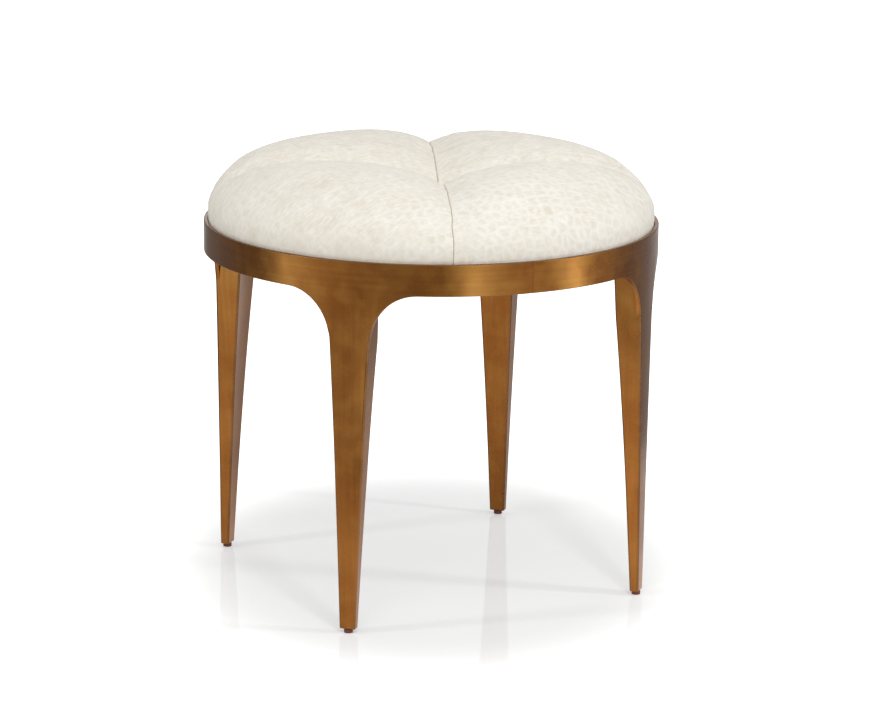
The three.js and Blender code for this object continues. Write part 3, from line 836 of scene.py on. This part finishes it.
# %% Seat sizes and shape
seat_radius, widest_level, deck_top = 256 * mm, 424 * mm, 419 * mm
seam_height, puff_height, seam_spread, puff_power = 56.5 * mm, 19.7 * mm, 124 * mm, 3.1
puff_loss_at_rim = 0.55
centre_dip, dip_radius = 17 * mm, 80 * mm
pinch_depth, pinch_radius = 4 * mm, 13 * mm
fullness, fuller_left, fuller_right, shoulder_power = 5.4, 1.7, 0.8, 2.1
seam_turn = math.radians(-21.5)
crossing = Matrix.Rotation(seam_turn, 2) @ Vector((8 * mm, -6 * mm))
tuck_depth = 1.3 * mm
tuck_starts, tuck_ends = (418.8 * mm, 420.2 * mm), (424 * mm, 442 * mm)


def along_seams(x, y):
    """A plan point as distances along the two seams from their crossing."""
    return Matrix.Rotation(-seam_turn, 2) @ (Vector((x, y)) - crossing)


def rise(distance):
    return 1 - (1 - min(abs(distance) / seam_spread, 1)) ** puff_power


def crown(x, y):
    """Height of the sewn top over its widest level."""
    share = min(math.hypot(x, y) / seat_radius, 1)
    local = along_seams(x, y)
    swell = puff_height * rise(local.x) * rise(local.y) * (1 - puff_loss_at_rim * share ** 4)
    dip = centre_dip * math.exp(-((local.length / dip_radius) ** 2))
    dip += pinch_depth * math.exp(-((local.length / pinch_radius) ** 2))
    sideways = Vector((x, y)).normalized().dot(camera_right.xy)
    power = fullness + (fuller_left if sideways < 0 else fuller_right) * sideways ** 4
    shoulder = (1 - share ** power) ** (1 / shoulder_power)
    return (seam_height + swell - dip) * shoulder


def ray_point(direction, share, radius):
    """The point a share of the way along a ray from the crossing to a circle."""
    ray = Vector((math.cos(direction), math.sin(direction)))
    along = crossing.dot(ray)
    reach = math.sqrt(along ** 2 - crossing.length_squared + radius ** 2) - along
    return crossing + ray * reach * share


def tucked(point):
    """Draws the rim in just above the ring, where the cloth turns down behind it."""
    draw = tuck_depth * smooth_step(point.z, *tuck_starts) * (1 - smooth_step(point.z, *tuck_ends))
    keep = 1 - draw / max(point.xy.length, tuck_depth)
    return Vector((point.x * keep, point.y * keep, point.z))


print("crossing at", [round(x / mm, 1) for x in crossing], "mm")

# %% [markdown]
# ## Four velvet panels
# Each panel is a quarter of the cover. Its quads run along both seams near the seams and round the
# rim near the rim: a square grid is squeezed onto a quarter of a disc, closer together at the
# seams and at the rolled edge. The rim is then extruded down between the ring and the deck, and in
# under the deck to the hem, 26 mm in. The pattern's map comes from lengths over the cloth, so that
# the velvet isn't stretched where the panel is steep.

# %% Panel, rim and map
panel_cells, crowding, table_steps = 84, 1.5, 90
rim_stations = [(255.9, 422.6), (255.8, 421.3), (255.5, 420.2), (254.4, 418.5), (254.4, 411),
                (254.4, 404), (253.8, 402.8), (252.6, 402.4), (241, 402.4), (228.4, 402.4)]
map_shift = Vector((1.7, 0.9))


def spaced(share):
    """Spreads even shares so that they crowd together at both ends."""
    return math.sin(min(max(share, 0), 1) ** crowding * math.pi / 2)


def panel_top(heading):
    """The crowned quarter between two seams and the rim, as a square grid of quads."""
    def place(u, v):
        across, away = spaced(u), spaced(v)
        x, y = across * math.sqrt(1 - away ** 2 / 2), away * math.sqrt(1 - across ** 2 / 2)
        plan = ray_point(heading + math.atan2(y, x), min(math.hypot(x, y), 1), seat_radius)
        return Vector((plan.x, plan.y, widest_level + crown(plan.x, plan.y)))

    bm = bmesh.new()
    patch(bm, panel_cells, panel_cells, place)
    face_along(bm, 2)
    return bm


def turn_down_rim(bm):
    """Extrudes the rim from station to station; a layer keeps how far past the rim each point is."""
    rim = [edge for edge in bm.edges if edge.is_boundary
           and all(math.hypot(*vert.co.xy) > seat_radius - 0.01 * mm for vert in edge.verts)]
    past_rim = bm.verts.layers.float.new("past_rim")
    run = 0.0
    for radius, height in rim_stations:
        made = bmesh.ops.extrude_edge_only(bm, edges=rim)
        rim, moved = among(made, BMEdge), among(made, BMVert)
        goal = Vector((radius * mm, height * mm))
        run += (goal - Vector((math.hypot(*moved[0].co.xy), moved[0].co.z))).length
        for vert in moved:
            flat = vert.co.xy.normalized() * goal.x
            vert.co = (flat.x, flat.y, goal.y)
            vert[past_rim] = run
    return past_rim


def cloth_lengths(direction):
    """Distances over the cloth from the crossing, at places that crowd towards the steep rim."""
    lengths, last = [0.0], None
    for step in range(table_steps + 1):
        place = ray_point(direction, math.sin(step / table_steps * math.pi / 2), seat_radius)
        point = Vector((place.x, place.y, crown(place.x, place.y)))
        if last is not None:
            lengths.append(lengths[-1] + (point - last).length)
        last = point
    return lengths


def along_table(table, share):
    """Reads a table of even steps between its entries."""
    place = min(max(share, 0), 1) * (len(table) - 1)
    low = min(int(place), len(table) - 2)
    return table[low] + (table[low + 1] - table[low]) * (place - low)


def map_cloth(bm, heading, number, past_rim):
    """Gives each point its place on the flat cloth: its direction, and its way over the surface."""
    table = cloth_lengths(heading + math.pi / 4)
    cloth = bm.loops.layers.uv.new("cloth")
    for face in bm.faces:
        for loop in face.loops:
            offset, extra = loop.vert.co.xy - crossing, loop.vert[past_rim]
            reach = ray_point(math.atan2(offset.y, offset.x), 1, seat_radius)
            share = 1 if extra > 0 else min(offset.length / (reach - crossing).length, 1)
            length = along_table(table, math.asin(share) / (math.pi / 2)) + extra
            loop[cloth].uv = offset.normalized() * length + map_shift * number


# %% [markdown]
# Along both seams the cloth rolls over and runs down into the channel in the foam, where it is sewn.
# The seams were guided by hand, so they stray a little, and the stitching draws puckers out of
# them: fine ones about 5 mm apart and broad ones about 11 mm apart, stronger near the crossing.

# %% Seams and puckers
roll_radius, seam_gap, flap_depth, flap_steps = 1.5 * mm, 0.12 * mm, 6 * mm, (0.4, 0.6)
seam_reach, seam_lowest, flap_goal = 6 * mm, 412 * mm, 405 * mm
fine_pucker, broad_pucker = (5.5 * mm, 30 * mm), (11 * mm, 70 * mm)
fine_height, broad_height, fine_reach, broad_reach = 0.6 * mm, 1.3 * mm, 10 * mm, 26 * mm
middle_strength, middle_reach, puckers_rise = 1.2, 45 * mm, (405 * mm, 425 * mm)
stray_length, stray_width, stray_rise = 16 * mm, 1.1 * mm, (4 * mm, 25 * mm)
flap_leans = 215 * mm, 250 * mm
panel_start = Vector((crossing.x, crossing.y, 0))


def wrinkle(along, away, offset):
    """Puckers that fan out of a seam: the height at a place along it and away from it."""
    fine = noise.noise(Vector((along / fine_pucker[0], away / fine_pucker[1], offset)))
    broad = noise.noise(Vector((along / broad_pucker[0], away / broad_pucker[1], offset + 7)))
    near_middle = 1 + middle_strength * math.exp(-along / middle_reach)
    puckers = fine_height * fine * math.exp(-away / fine_reach)
    puckers += broad_height * broad * math.exp(-away / broad_reach)
    return puckers * near_middle


def seam_wander(along, seam):
    """How far a hand-guided seam strays sideways, the same for the two panels it joins."""
    stray = noise.noise(Vector((along / stray_length, 5.3 * (seam % 4), 0)))
    return stray_width * stray * smooth_step(along, *stray_rise)


def rolled(away):
    """How far the cloth has rolled down at a distance from its seam, up to the roll's radius."""
    return roll_radius - math.sqrt(max(roll_radius ** 2 - (roll_radius - away) ** 2, 0))


def shape_seams(bm, number, first, second):
    """Moves each point sideways with its seam's stray and gap, and up or down with roll and puckers."""
    bm.normal_update()
    for vert in bm.verts:
        offset = vert.co - panel_start
        to_first, to_second = offset.dot(second), offset.dot(first)
        normal, drop = vert.normal.copy(), 0.0
        both = (to_first, to_second, second, 1), (to_second, to_first, first, -1)
        for away, along, side, sign in both:
            near = math.exp(-max(away, 0) / seam_reach)
            vert.co += side * sign * seam_wander(along, number + (1 - sign) // 2) * near
            normal -= side * normal.dot(side) * near
            if away < roll_radius:
                drop = max(drop, rolled(away))
            vert.co += side * seam_gap * near
            on_top = smooth_step(vert.co.z, *puckers_rise)
            drop -= wrinkle(along, max(away, 0), 3.1 * number) * on_top
        vert.co -= normal.normalized() * drop


def sew_flap(bm, edges, side):
    """Extrudes a seam's edge down into the channel, and inwards where the side is steep."""
    for step in flap_steps:
        made = bmesh.ops.extrude_edge_only(bm, edges=edges)
        edges = among(made, BMEdge)
        for vert in among(made, BMVert):
            inward = Vector((crossing.x, crossing.y, flap_goal)) - vert.co
            inward -= side * inward.dot(side)
            steep = smooth_step(math.hypot(*vert.co.xy), *flap_leans)
            way = Vector((0, 0, -1)) * (1 - steep) + inward.normalized() * steep
            vert.co += way * flap_depth * step


def panel_sides(number):
    """A panel's heading, and the level directions of the two seams that bound it."""
    heading = seam_turn + number * math.pi / 2
    first = Vector((math.cos(heading), math.sin(heading), 0))
    return heading, first, Vector((-math.sin(heading), math.cos(heading), 0))


def cover_panel(number):
    heading, first, second = panel_sides(number)
    bm = panel_top(heading)
    past_rim = turn_down_rim(bm)
    map_cloth(bm, heading, number, past_rim)
    seams = [[edge for edge in bm.edges if edge.is_boundary
              and all(vert.co.z > seam_lowest and abs((vert.co - panel_start).dot(side)) < close
                      for vert in edge.verts)] for side in (second, first)]
    shape_seams(bm, number, first, second)
    for side, edges in zip((second, first), seams):
        sew_flap(bm, edges, side)
    for vert in bm.verts:
        vert.co = tucked(vert.co)
    return bm


panels = []
for number, name in enumerate(["right", "back", "left", "front"]):
    panels.append(make_piece(f"velvet_panel_{name}", cover_panel(number), [velvet], "frame",
                             [f"cover_panel_{name}"], 70))
print("panels:", [len(piece.data.polygons) for piece in panels], "quads")

# %% [markdown]
# The velvet is then let go as cloth. It is cut 1.5 per cent bigger than its place, it is held where
# it is sewn and stapled, and the foam presses it outwards. In 20 steps it finds its own small folds
# beside the seams. The foam and the pattern keep every point within 2.5 mm of where it was.
# The thickness comes last, on the inside.

# %% Let the velvet settle
settle_steps, settle_reach, spare_cloth, foam_pressure = 20, 2.5 * mm, 0.015, 4.0
sewn_reach, free_reach = 2.5 * mm, 12 * mm
stapled_below, free_above = 428 * mm, 440 * mm
cover_thickness = 1.3 * mm


def hold_sewn_parts(piece, number):
    """A group of points: 1 where the cloth is sewn or stapled, 0 where it is free."""
    _, first, second = panel_sides(number)
    group = piece.vertex_groups.new(name="sewn")
    for vert in piece.data.vertices:
        offset = vert.co.xy - crossing
        away = min(offset.dot(first.xy), offset.dot(second.xy))
        sewn = 1 - smooth_step(away, sewn_reach, free_reach)
        stapled = 1 - smooth_step(vert.co.z, stapled_below, free_above)
        group.add([vert.index], max(sewn, stapled), "REPLACE")
    return group


def settle_as_cloth(piece, number):
    """Runs the cloth and keeps its result in the mesh, each point within its reach."""
    group = hold_sewn_parts(piece, number)
    cloth = piece.modifiers.new("velvet", "CLOTH")
    cloth.settings.vertex_group_mass = group.name
    cloth.settings.use_pressure = True
    cloth.settings.uniform_pressure_force = foam_pressure
    cloth.settings.shrink_min = -spare_cloth
    cloth.settings.effector_weights.gravity = 0
    cloth.collision_settings.use_collision = False
    cloth.point_cache.frame_end = settle_steps
    for frame_number in range(1, settle_steps + 1):
        bpy.context.scene.frame_set(frame_number)
    settled = piece.evaluated_get(bpy.context.evaluated_depsgraph_get()).to_mesh()
    moves = [new.co - old.co for new, old in zip(settled.vertices, piece.data.vertices)]
    piece.modifiers.remove(cloth)
    piece.vertex_groups.remove(group)
    outwards = [vert.normal.copy() for vert in piece.data.vertices]
    moves = [move - out * min(move.dot(out), 0) for move, out in zip(moves, outwards)]
    for vert, step in zip(piece.data.vertices, moves):
        vert.co += step * min(1, settle_reach / max(step.length, 0.001 * mm))
    bpy.context.scene.frame_set(1)
    return max(step.length for step in moves), sum(step.length for step in moves) / len(moves)


for number, piece in enumerate(panels):
    most, average = settle_as_cloth(piece, number)
    print(piece.name, "moved", round(average / mm, 2), "mm on average, at most", round(most / mm, 2))
    thicken(piece, "cloth thickness", cover_thickness)

# %% [markdown]
# ## The foam pad
# The pad under the cover is one crowned block of foam on the deck. It is turned as a stack of rings
# and its top is then set a little below the cover, with a channel along each seam. The top is read
# a hair inside the rim, because the crown stands upright there.

# %% Foam pad
foam_gap, foam_foot_radius, foam_lift = 2.2 * mm, 251 * mm, 0.3 * mm
channel_depth, channel_width = 7 * mm, 5 * mm
foam_rows, foam_steps, inside_rim = 40, 120, 0.999


def foam_pad():
    rows = [math.sin((1 - row / foam_rows) * math.pi / 2) for row in range(foam_rows + 1)]
    bm = turned([(0, 0), (1, 0)] + [(radius, 1) for radius in rows], foam_steps)
    for vert in bm.verts:
        share, on_top = math.hypot(*vert.co.xy), vert.co.z > 0.5
        radius = seat_radius - foam_gap if on_top else foam_foot_radius
        plan = ray_point(math.atan2(vert.co.y, vert.co.x), min(share, 1), radius)
        height = deck_top + foam_lift
        if on_top:
            channel = max(math.exp(-(place / channel_width) ** 2) for place in along_seams(*plan))
            level = crown(*(plan * inside_rim)) - foam_gap - channel * channel_depth
            height = widest_level + max(level, 0) * (1 if share < inside_rim else 0)
        vert.co = tucked(Vector((plan.x, plan.y, height)))
    bmesh.ops.recalc_face_normals(bm, faces=bm.faces)
    return bm


def cut_size(piece):
    """The flat width, length and area of a panel, read from its own map of the cloth."""
    flat = [Vector(loop.uv) for loop in piece.data.uv_layers["cloth"].data]
    size = [max(p[axis] for p in flat) - min(p[axis] for p in flat) for axis in (0, 1)]
    area = 0.0
    for face in piece.data.polygons:
        points = [flat[index] for index in face.loop_indices]
        area += abs(sum(a.cross(b) for a, b in zip(points, points[1:] + points[:1]))) / 2
    return size, area


pad = make_piece("foam_pad", foam_pad(), [foam_stuff], "frame", ["seat_foam"], 60)
for piece in panels:
    size, area = cut_size(piece)
    tuple(size)
    print(piece.name, "is cut from", [round(x / mm) for x in size], "mm, area", round(area, 4), "m2")
print("foam pad:", len(pad.data.polygons), "faces")

# %% [markdown]
# ## Under the seat
# The dust cover is a disc of cambric felt stapled over the turned-in velvet, with a hole round each
# boss. The outline and the four holes are filled in one go and then subdivided, so that the felt can
# sag a little. Each staple is a bent wire: a bar with two short legs.

# %% Dust cover
dust_radius, dust_level, dust_thickness = 236.4 * mm, 402.1 * mm, 0.6 * mm
dust_hole, dust_sag, dust_ripple, longest_edge = 11 * mm, 1.6 * mm, 0.3 * mm, 14 * mm
staple_circle, staple_count, staple_clear = 231.5 * mm, 60, 5
sag_circle = staple_circle - 6 * mm


def dust_cover():
    bm = bmesh.new()
    bmesh.ops.create_circle(bm, segments=120, radius=dust_radius)
    for degrees in corners.values():
        middle = Vector((bolt_circle, 0, 0))
        middle.rotate(Matrix.Rotation(math.radians(degrees), 3, "Z"))
        move(bm, middle, bmesh.ops.create_circle(bm, segments=24, radius=dust_hole)["verts"])
    bmesh.ops.triangle_fill(bm, use_beauty=True, use_dissolve=False, edges=bm.edges[:])
    for _ in range(3):
        inner = [edge for edge in bm.edges if edge.calc_length() > longest_edge]
        bmesh.ops.subdivide_edges(bm, edges=inner, cuts=1)
        bmesh.ops.triangulate(bm, faces=bm.faces[:])
    for vert in bm.verts:
        sag = dust_sag * max(1 - (vert.co.xy.length / sag_circle) ** 2, 0)
        vert.co.z = dust_level - sag - dust_ripple * noise.noise(vert.co / (30 * mm))
    face_along(bm, 2)
    return bm


felt = make_piece("cambric_dust_cover", dust_cover(), [cambric], "frame", ["dust_cover"])
thicken(felt, "felt thickness", dust_thickness)
print("dust cover:", len(felt.data.polygons), "faces")

# %% Staples
staple_bar, staple_leg = (0.7, 10, 0.5), (0.7, 0.7, 1.6)
staple_parts = ((staple_bar, (0, 0, 0)), (staple_leg, (0, 4.65, 0.8)), (staple_leg, (0, -4.65, 0.8)))
staple_spot = Vector((staple_circle, 0, dust_level - dust_thickness - 0.25 * mm))


def staples():
    bm = bmesh.new()
    for number in range(staple_count):
        degrees = 360 / staple_count * (number + 0.5)
        if min(abs(degrees - corner) for corner in corners.values()) < staple_clear:
            continue
        for size, place in staple_parts:
            verts = bmesh.ops.create_cube(bm, size=mm)["verts"]
            bmesh.ops.scale(bm, verts=verts, vec=size)
            move(bm, Vector(place) * mm + staple_spot, verts)
            turn(bm, degrees, verts)
    return bm


wires = make_piece("steel_staples", staples(), [steel], "frame")
print("staples:", len(wires.data.polygons) // 18)

# %% [markdown]
# ## The tie
# Twine runs from the crossing of the seams down through foam and deck to a flat disc below, and
# holds the middle of the seat down. It is two strands laid round each other: a small circle
# is carried round and along the axis.

# %% Tie
tie_bottom, tie_top = 403.6 * mm, 457 * mm
strand_radius, lay_length, strand_lean, steps_per_turn = 0.58 * mm, 7 * mm, 62, 14


def tie_twine():
    bm = bmesh.new()
    turns = (tie_top - tie_bottom) / lay_length
    steps = int(turns * steps_per_turn)
    for side in (1, -1):
        verts = bmesh.ops.create_circle(bm, segments=8, radius=strand_radius)["verts"]
        turn(bm, strand_lean * side, verts, "X")
        move(bm, (side * strand_radius, 0, 0), verts)
        ring = list({edge for vert in verts for edge in vert.link_edges})
        bmesh.ops.spin(bm, geom=verts + ring, cent=(0, 0, 0), axis=(0, 0, 1), angle=math.tau * turns,
                       dvec=(0, 0, (tie_top - tie_bottom) / steps), steps=steps)
    bmesh.ops.holes_fill(bm, edges=[edge for edge in bm.edges if edge.is_boundary], sides=12)
    move(bm, (crossing.x, crossing.y, tie_bottom))
    bmesh.ops.recalc_face_normals(bm, faces=bm.faces)
    return bm


tie = make_piece("linen_tie", tie_twine(), [twine], "frame", ["seat_tie_cord"], 80)
print("tie:", len(tie.data.polygons), "faces")

# %% [markdown]
# ## Finishes for the solids that stay
# The deck, the nuts, the splice plates and the tie's disc keep their solids, which have the right
# shape already, and take the finishes made above.

# %% Finishes for the solids that stay
kept = {"seat_deck": plywood, "seat_tie_toggle": nylon}
kept.update({f"t_nut_{corner}": steel for corner in corners})
kept.update({f"splice_plate_{side}": strip_brass for side in sides})
for name, material in kept.items():
    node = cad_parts[name]
    node.data.materials.clear()
    node.data.materials.append(material)
left = [name for name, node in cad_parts.items() if name not in kept and not node.hide_render]
print("solids kept:", len(kept), "solids with no finish:", left)

# %% [markdown]
# ## Studio
# The stool stands on a glossy white floor. Three small lamps, to the right, to the left and in
# front, draw the thin shadows of the legs, and a large soft one overhead lights the seat. The world
# is white to the camera and in reflections, and gives the rest of the light.

# %% World and lamps
world = bpy.data.worlds.new("studio")
bpy.context.scene.world = world
world.use_nodes = True
world.node_tree.nodes.clear()
paths = add(world, "LightPath").outputs
seen = add(world, "Math", {0: paths["Is Camera Ray"], 1: paths["Is Glossy Ray"]}, operation="MAXIMUM")
seen = add(world, "Math", {0: seen, 1: paths["Is Transmission Ray"]}, operation="MAXIMUM")
fill = add(world, "Background", {"Color": linear("#fffefc"), "Strength": 0.52})
white = add(world, "Background", {"Color": linear("#ffffff"), "Strength": 1})
add(world, "OutputWorld", {0: add(world, "MixShader", {0: seen, 1: fill, 2: white})})
bpy.context.scene.view_settings.view_transform = "Standard"

lamp_distance, lamp_aim = 2.6, Vector((0, 0, 0.25))
camera_turn = math.degrees(camera_azimuth)
lamps = {"right": (camera_turn + 77, 30, 10, 0.22), "left": (camera_turn - 68, 30, 8, 0.22),
         "front": (camera_turn + 20, 38, 7, 0.22), "soft": (camera_turn + 2, 52, 15.5, 1.7)}


def direction_to(azimuth, height_angle=0):
    """The direction from the stool to a place round it, azimuth 0 in front and 90 to the right."""
    a, e = math.radians(azimuth), math.radians(height_angle)
    return Vector((math.sin(a) * math.cos(e), -math.cos(a) * math.cos(e), math.sin(e)))


for name, (azimuth, height_angle, watts, size) in lamps.items():
    lamp = bpy.data.objects.new(f"lamp_{name}", bpy.data.lights.new(f"lamp_{name}", "AREA"))
    bpy.context.scene.collection.objects.link(lamp)
    lamp.data.energy = watts
    lamp.data.shape = "DISK"
    lamp.data.size = size
    way = direction_to(azimuth, height_angle)
    lamp.location = way * lamp_distance + lamp_aim
    lamp.rotation_euler = way.to_track_quat("Z", "Y").to_euler()
print("lamps:", list(lamps))

# %% [markdown]
# The floor is a sheet of white acrylic. In an oval patch round the feet it is lit by the lamps and a
# little light of its own; outside the patch its own light takes it to white, so that it meets the
# white behind. What the brass sees of it is set apart from that: darker behind on the right, and
# brighter in front on the right. From below the floor is clear, so that the underside can be seen.

# %% Floor
floor_radius = 9
patch_centre = camera_right * 4 * mm + towards_stool * 26 * mm
patch_size, patch_edge = (0.3, 0.4, 1), (0.5, 1.85)
near_glow, far_glow, white_glow, glow_depth = 0.18, 0.35, 0.95, 0.4


def stage_piece(name, bm, material):
    mesh = bpy.data.meshes.new(name)
    bm.to_mesh(mesh)
    bm.free()
    mesh.materials.append(material)
    piece = bpy.data.objects.new(name, mesh)
    bpy.context.scene.collection.objects.link(piece)
    piece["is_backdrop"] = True
    return piece


def acrylic_floor():
    material, shader, place = new_material("white_acrylic_floor")

    def along(direction):
        """How far a place lies along a level direction from the middle."""
        product = add(material, "VectorMath", {0: place, 1: direction}, operation="DOT_PRODUCT")
        return product.outputs["Value"]

    oval = add(material, "Mapping", {"Vector": place, "Location": patch_centre, "Scale": patch_size,
                                     "Rotation": (0, 0, camera_azimuth)}, vector_type="TEXTURE")
    reach = add(material, "VectorMath", {0: oval, 1: oval}, operation="DOT_PRODUCT").outputs["Value"]
    outside = add(material, "MapRange", {0: reach, 1: patch_edge[0], 2: patch_edge[1], 3: 0, 4: 1},
                  interpolation_type="SMOOTHSTEP")
    inside = ramp_between(material, along(towards_stool), -glow_depth, glow_depth, near_glow, far_glow)
    glow = add(material, "Mix", {0: outside, 2: inside, 3: white_glow})
    behind = ramp_between(material, along(direction_to(camera_turn + 140)), -0.1, 0.3, 1, 0.38)
    beside = ramp_between(material, along(direction_to(camera_turn + 50)), 0.1, 0.25, 0.68, 1.28)
    mirrored = add(material, "Math", {0: behind, 1: beside}, operation="MULTIPLY")
    paths = add(material, "LightPath").outputs
    mirrored = add(material, "Math", {0: mirrored, 1: paths["Is Glossy Ray"]}, operation="MULTIPLY")
    strength = add(material, "Math", {0: glow, 1: paths["Is Camera Ray"], 2: mirrored},
                   operation="MULTIPLY_ADD")
    plug(material, shader, {"Emission Strength": strength, "Emission Color": linear("#ffffff"),
                            "Base Color": linear("#e7e8e8"), "Roughness": 0.05,
                            "Specular IOR Level": 0.05})
    below = add(material, "NewGeometry").outputs["Backfacing"]
    clear = add(material, "BsdfTransparent")
    either = add(material, "MixShader", {0: below, 1: shader, 2: clear})
    plug(material, material.node_tree.nodes["Material Output"], {0: either})
    return material


bm = bmesh.new()
bmesh.ops.create_circle(bm, cap_ends=True, segments=96, radius=floor_radius)
floor = stage_piece("floor", bm, acrylic_floor())
print("floor:", floor.name, floor_radius, "m in radius")

# %% [markdown]
# Brass shows what stands round it, so a drum of soft panels and dark gaps stands round the stool for
# reflections alone. Its narrow bright panels, left, in front and right of the camera, give the ring
# its sharp lights, and the rest is greyer, brighter behind. Near the floor the panels are dimmed, so
# that the floor doesn't mirror them. A pale card low in front, left of the camera, lightens the
# inner side of the right-hand leg. Tones are given at angles from the camera's side, right is plus.

# %% Drum and card
drum_radius, drum_bottom, drum_height, brightest = 0.75, 1 * mm, 1.5, 8.0
drum_tones = [(-180, 1.1), (-155, 0.95), (-134, 0.26), (-104, 0.38), (-90, 0.3), (-78, 0.45),
              (-68.5, 0.45), (-66, 3.1), (-62, 2.3), (-56, 1.5), (-44, 1.02), (-22, 0.64), (-12, 0.54),
              (2, 0.62), (12.5, 0.56), (15.5, 3.4), (18, 3.0), (24, 1.35), (32, 1.05), (50, 1.0),
              (58, 1.3), (61, 2.0), (64, 5.8), (66.5, 4.8), (69, 1.0), (82, 0.78), (106, 0.4),
              (122, 0.38), (142, 0.7), (180, 1.1)]
tone_near_floor, dimmed_from, dimmed_to = 1.6, 130 * mm, 220 * mm
cool_from, cool_full, cool_green, cool_blue = 0.8, 2.2, 0.3, 0.45
card_radius, card_left, card_right = 0.74, -29, -13
card_low, card_high, card_fade, card_tones = 95 * mm, 215 * mm, 60 * mm, (0.7, 3.0)


def light_material(name):
    """A material with no surface shader yet, and its place on the piece."""
    material = bpy.data.materials.new(name)
    material.use_nodes = True
    material.node_tree.nodes.clear()
    return material, add(material, "TexCoord").outputs["Object"]


def studio_panels():
    material, place = light_material("studio_panels")
    from_camera = add(material, "Mapping", {"Vector": place, "Rotation": (0, 0, -camera_azimuth)})
    axes = add(material, "SeparateXYZ", {0: from_camera}).outputs
    back = add(material, "Math", {0: axes[1], 1: -1}, operation="MULTIPLY")
    angle = add(material, "Math", {0: axes[0], 1: back}, operation="ARCTAN2")
    ramp = add(material, "ValToRGB", {0: ramp_between(material, angle, -math.pi, math.pi)})
    ramp.color_ramp.interpolation = "EASE"
    stops = ramp.color_ramp.elements
    for degrees, tone in drum_tones[1:-1]:
        stops.new((degrees + 180) / 360)
    for stop, (degrees, tone) in zip(stops, drum_tones):
        stop.position = (degrees + 180) / 360
        cool, share = smooth_step(tone, cool_from, cool_full), tone / brightest
        stop.color = (share, share * (1 + cool_green * cool), share * (1 + cool_blue * cool), 1)
    limit = ramp_between(material, axes[2], dimmed_from, dimmed_to, tone_near_floor / brightest, 1)
    dimmed = add(material, "VectorMath", {0: ramp, 1: limit}, operation="MINIMUM")
    add(material, "OutputMaterial", {0: add(material, "Emission", {0: dimmed, 1: brightest})})
    return material


def pale_card():
    material, place = light_material("pale_card")
    level = add(material, "SeparateXYZ", {0: place}).outputs[2]
    tone = ramp_between(material, level, card_low, card_low + card_fade, *card_tones)
    add(material, "OutputMaterial", {0: add(material, "Emission", {0: linear("#e2f9ff"), 1: tone})})
    return material


def card_point(u, v):
    azimuth = camera_turn + card_left + (card_right - card_left) * u
    return direction_to(azimuth) * card_radius + Vector((0, 0, card_low + (card_high - card_low) * v))


drum = turned([(drum_radius, drum_bottom), (drum_radius, drum_height)], 96)
drum = stage_piece("reflection_drum", drum, studio_panels())
bm = bmesh.new()
patch(bm, 8, 2, card_point)
card = stage_piece("reflector_card", bm, pale_card())
for piece in (drum, card):
    piece.visible_camera = piece.visible_diffuse = False
    piece.visible_shadow = piece.visible_transmission = False
print("studio: floor, drum, card and", len(lamps), "lamps")

# %% [markdown]
# ## The model's size
# The box of the solids and the box of the finished model are compared, and the last line prints how much
# the box grew.

# %% The model's size
model_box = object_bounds()
growth = [[round((a - b) / mm, 2) for a, b in zip(new, old)] for new, old in zip(model_box, cad_box)]
print("box grew by", growth, "mm")
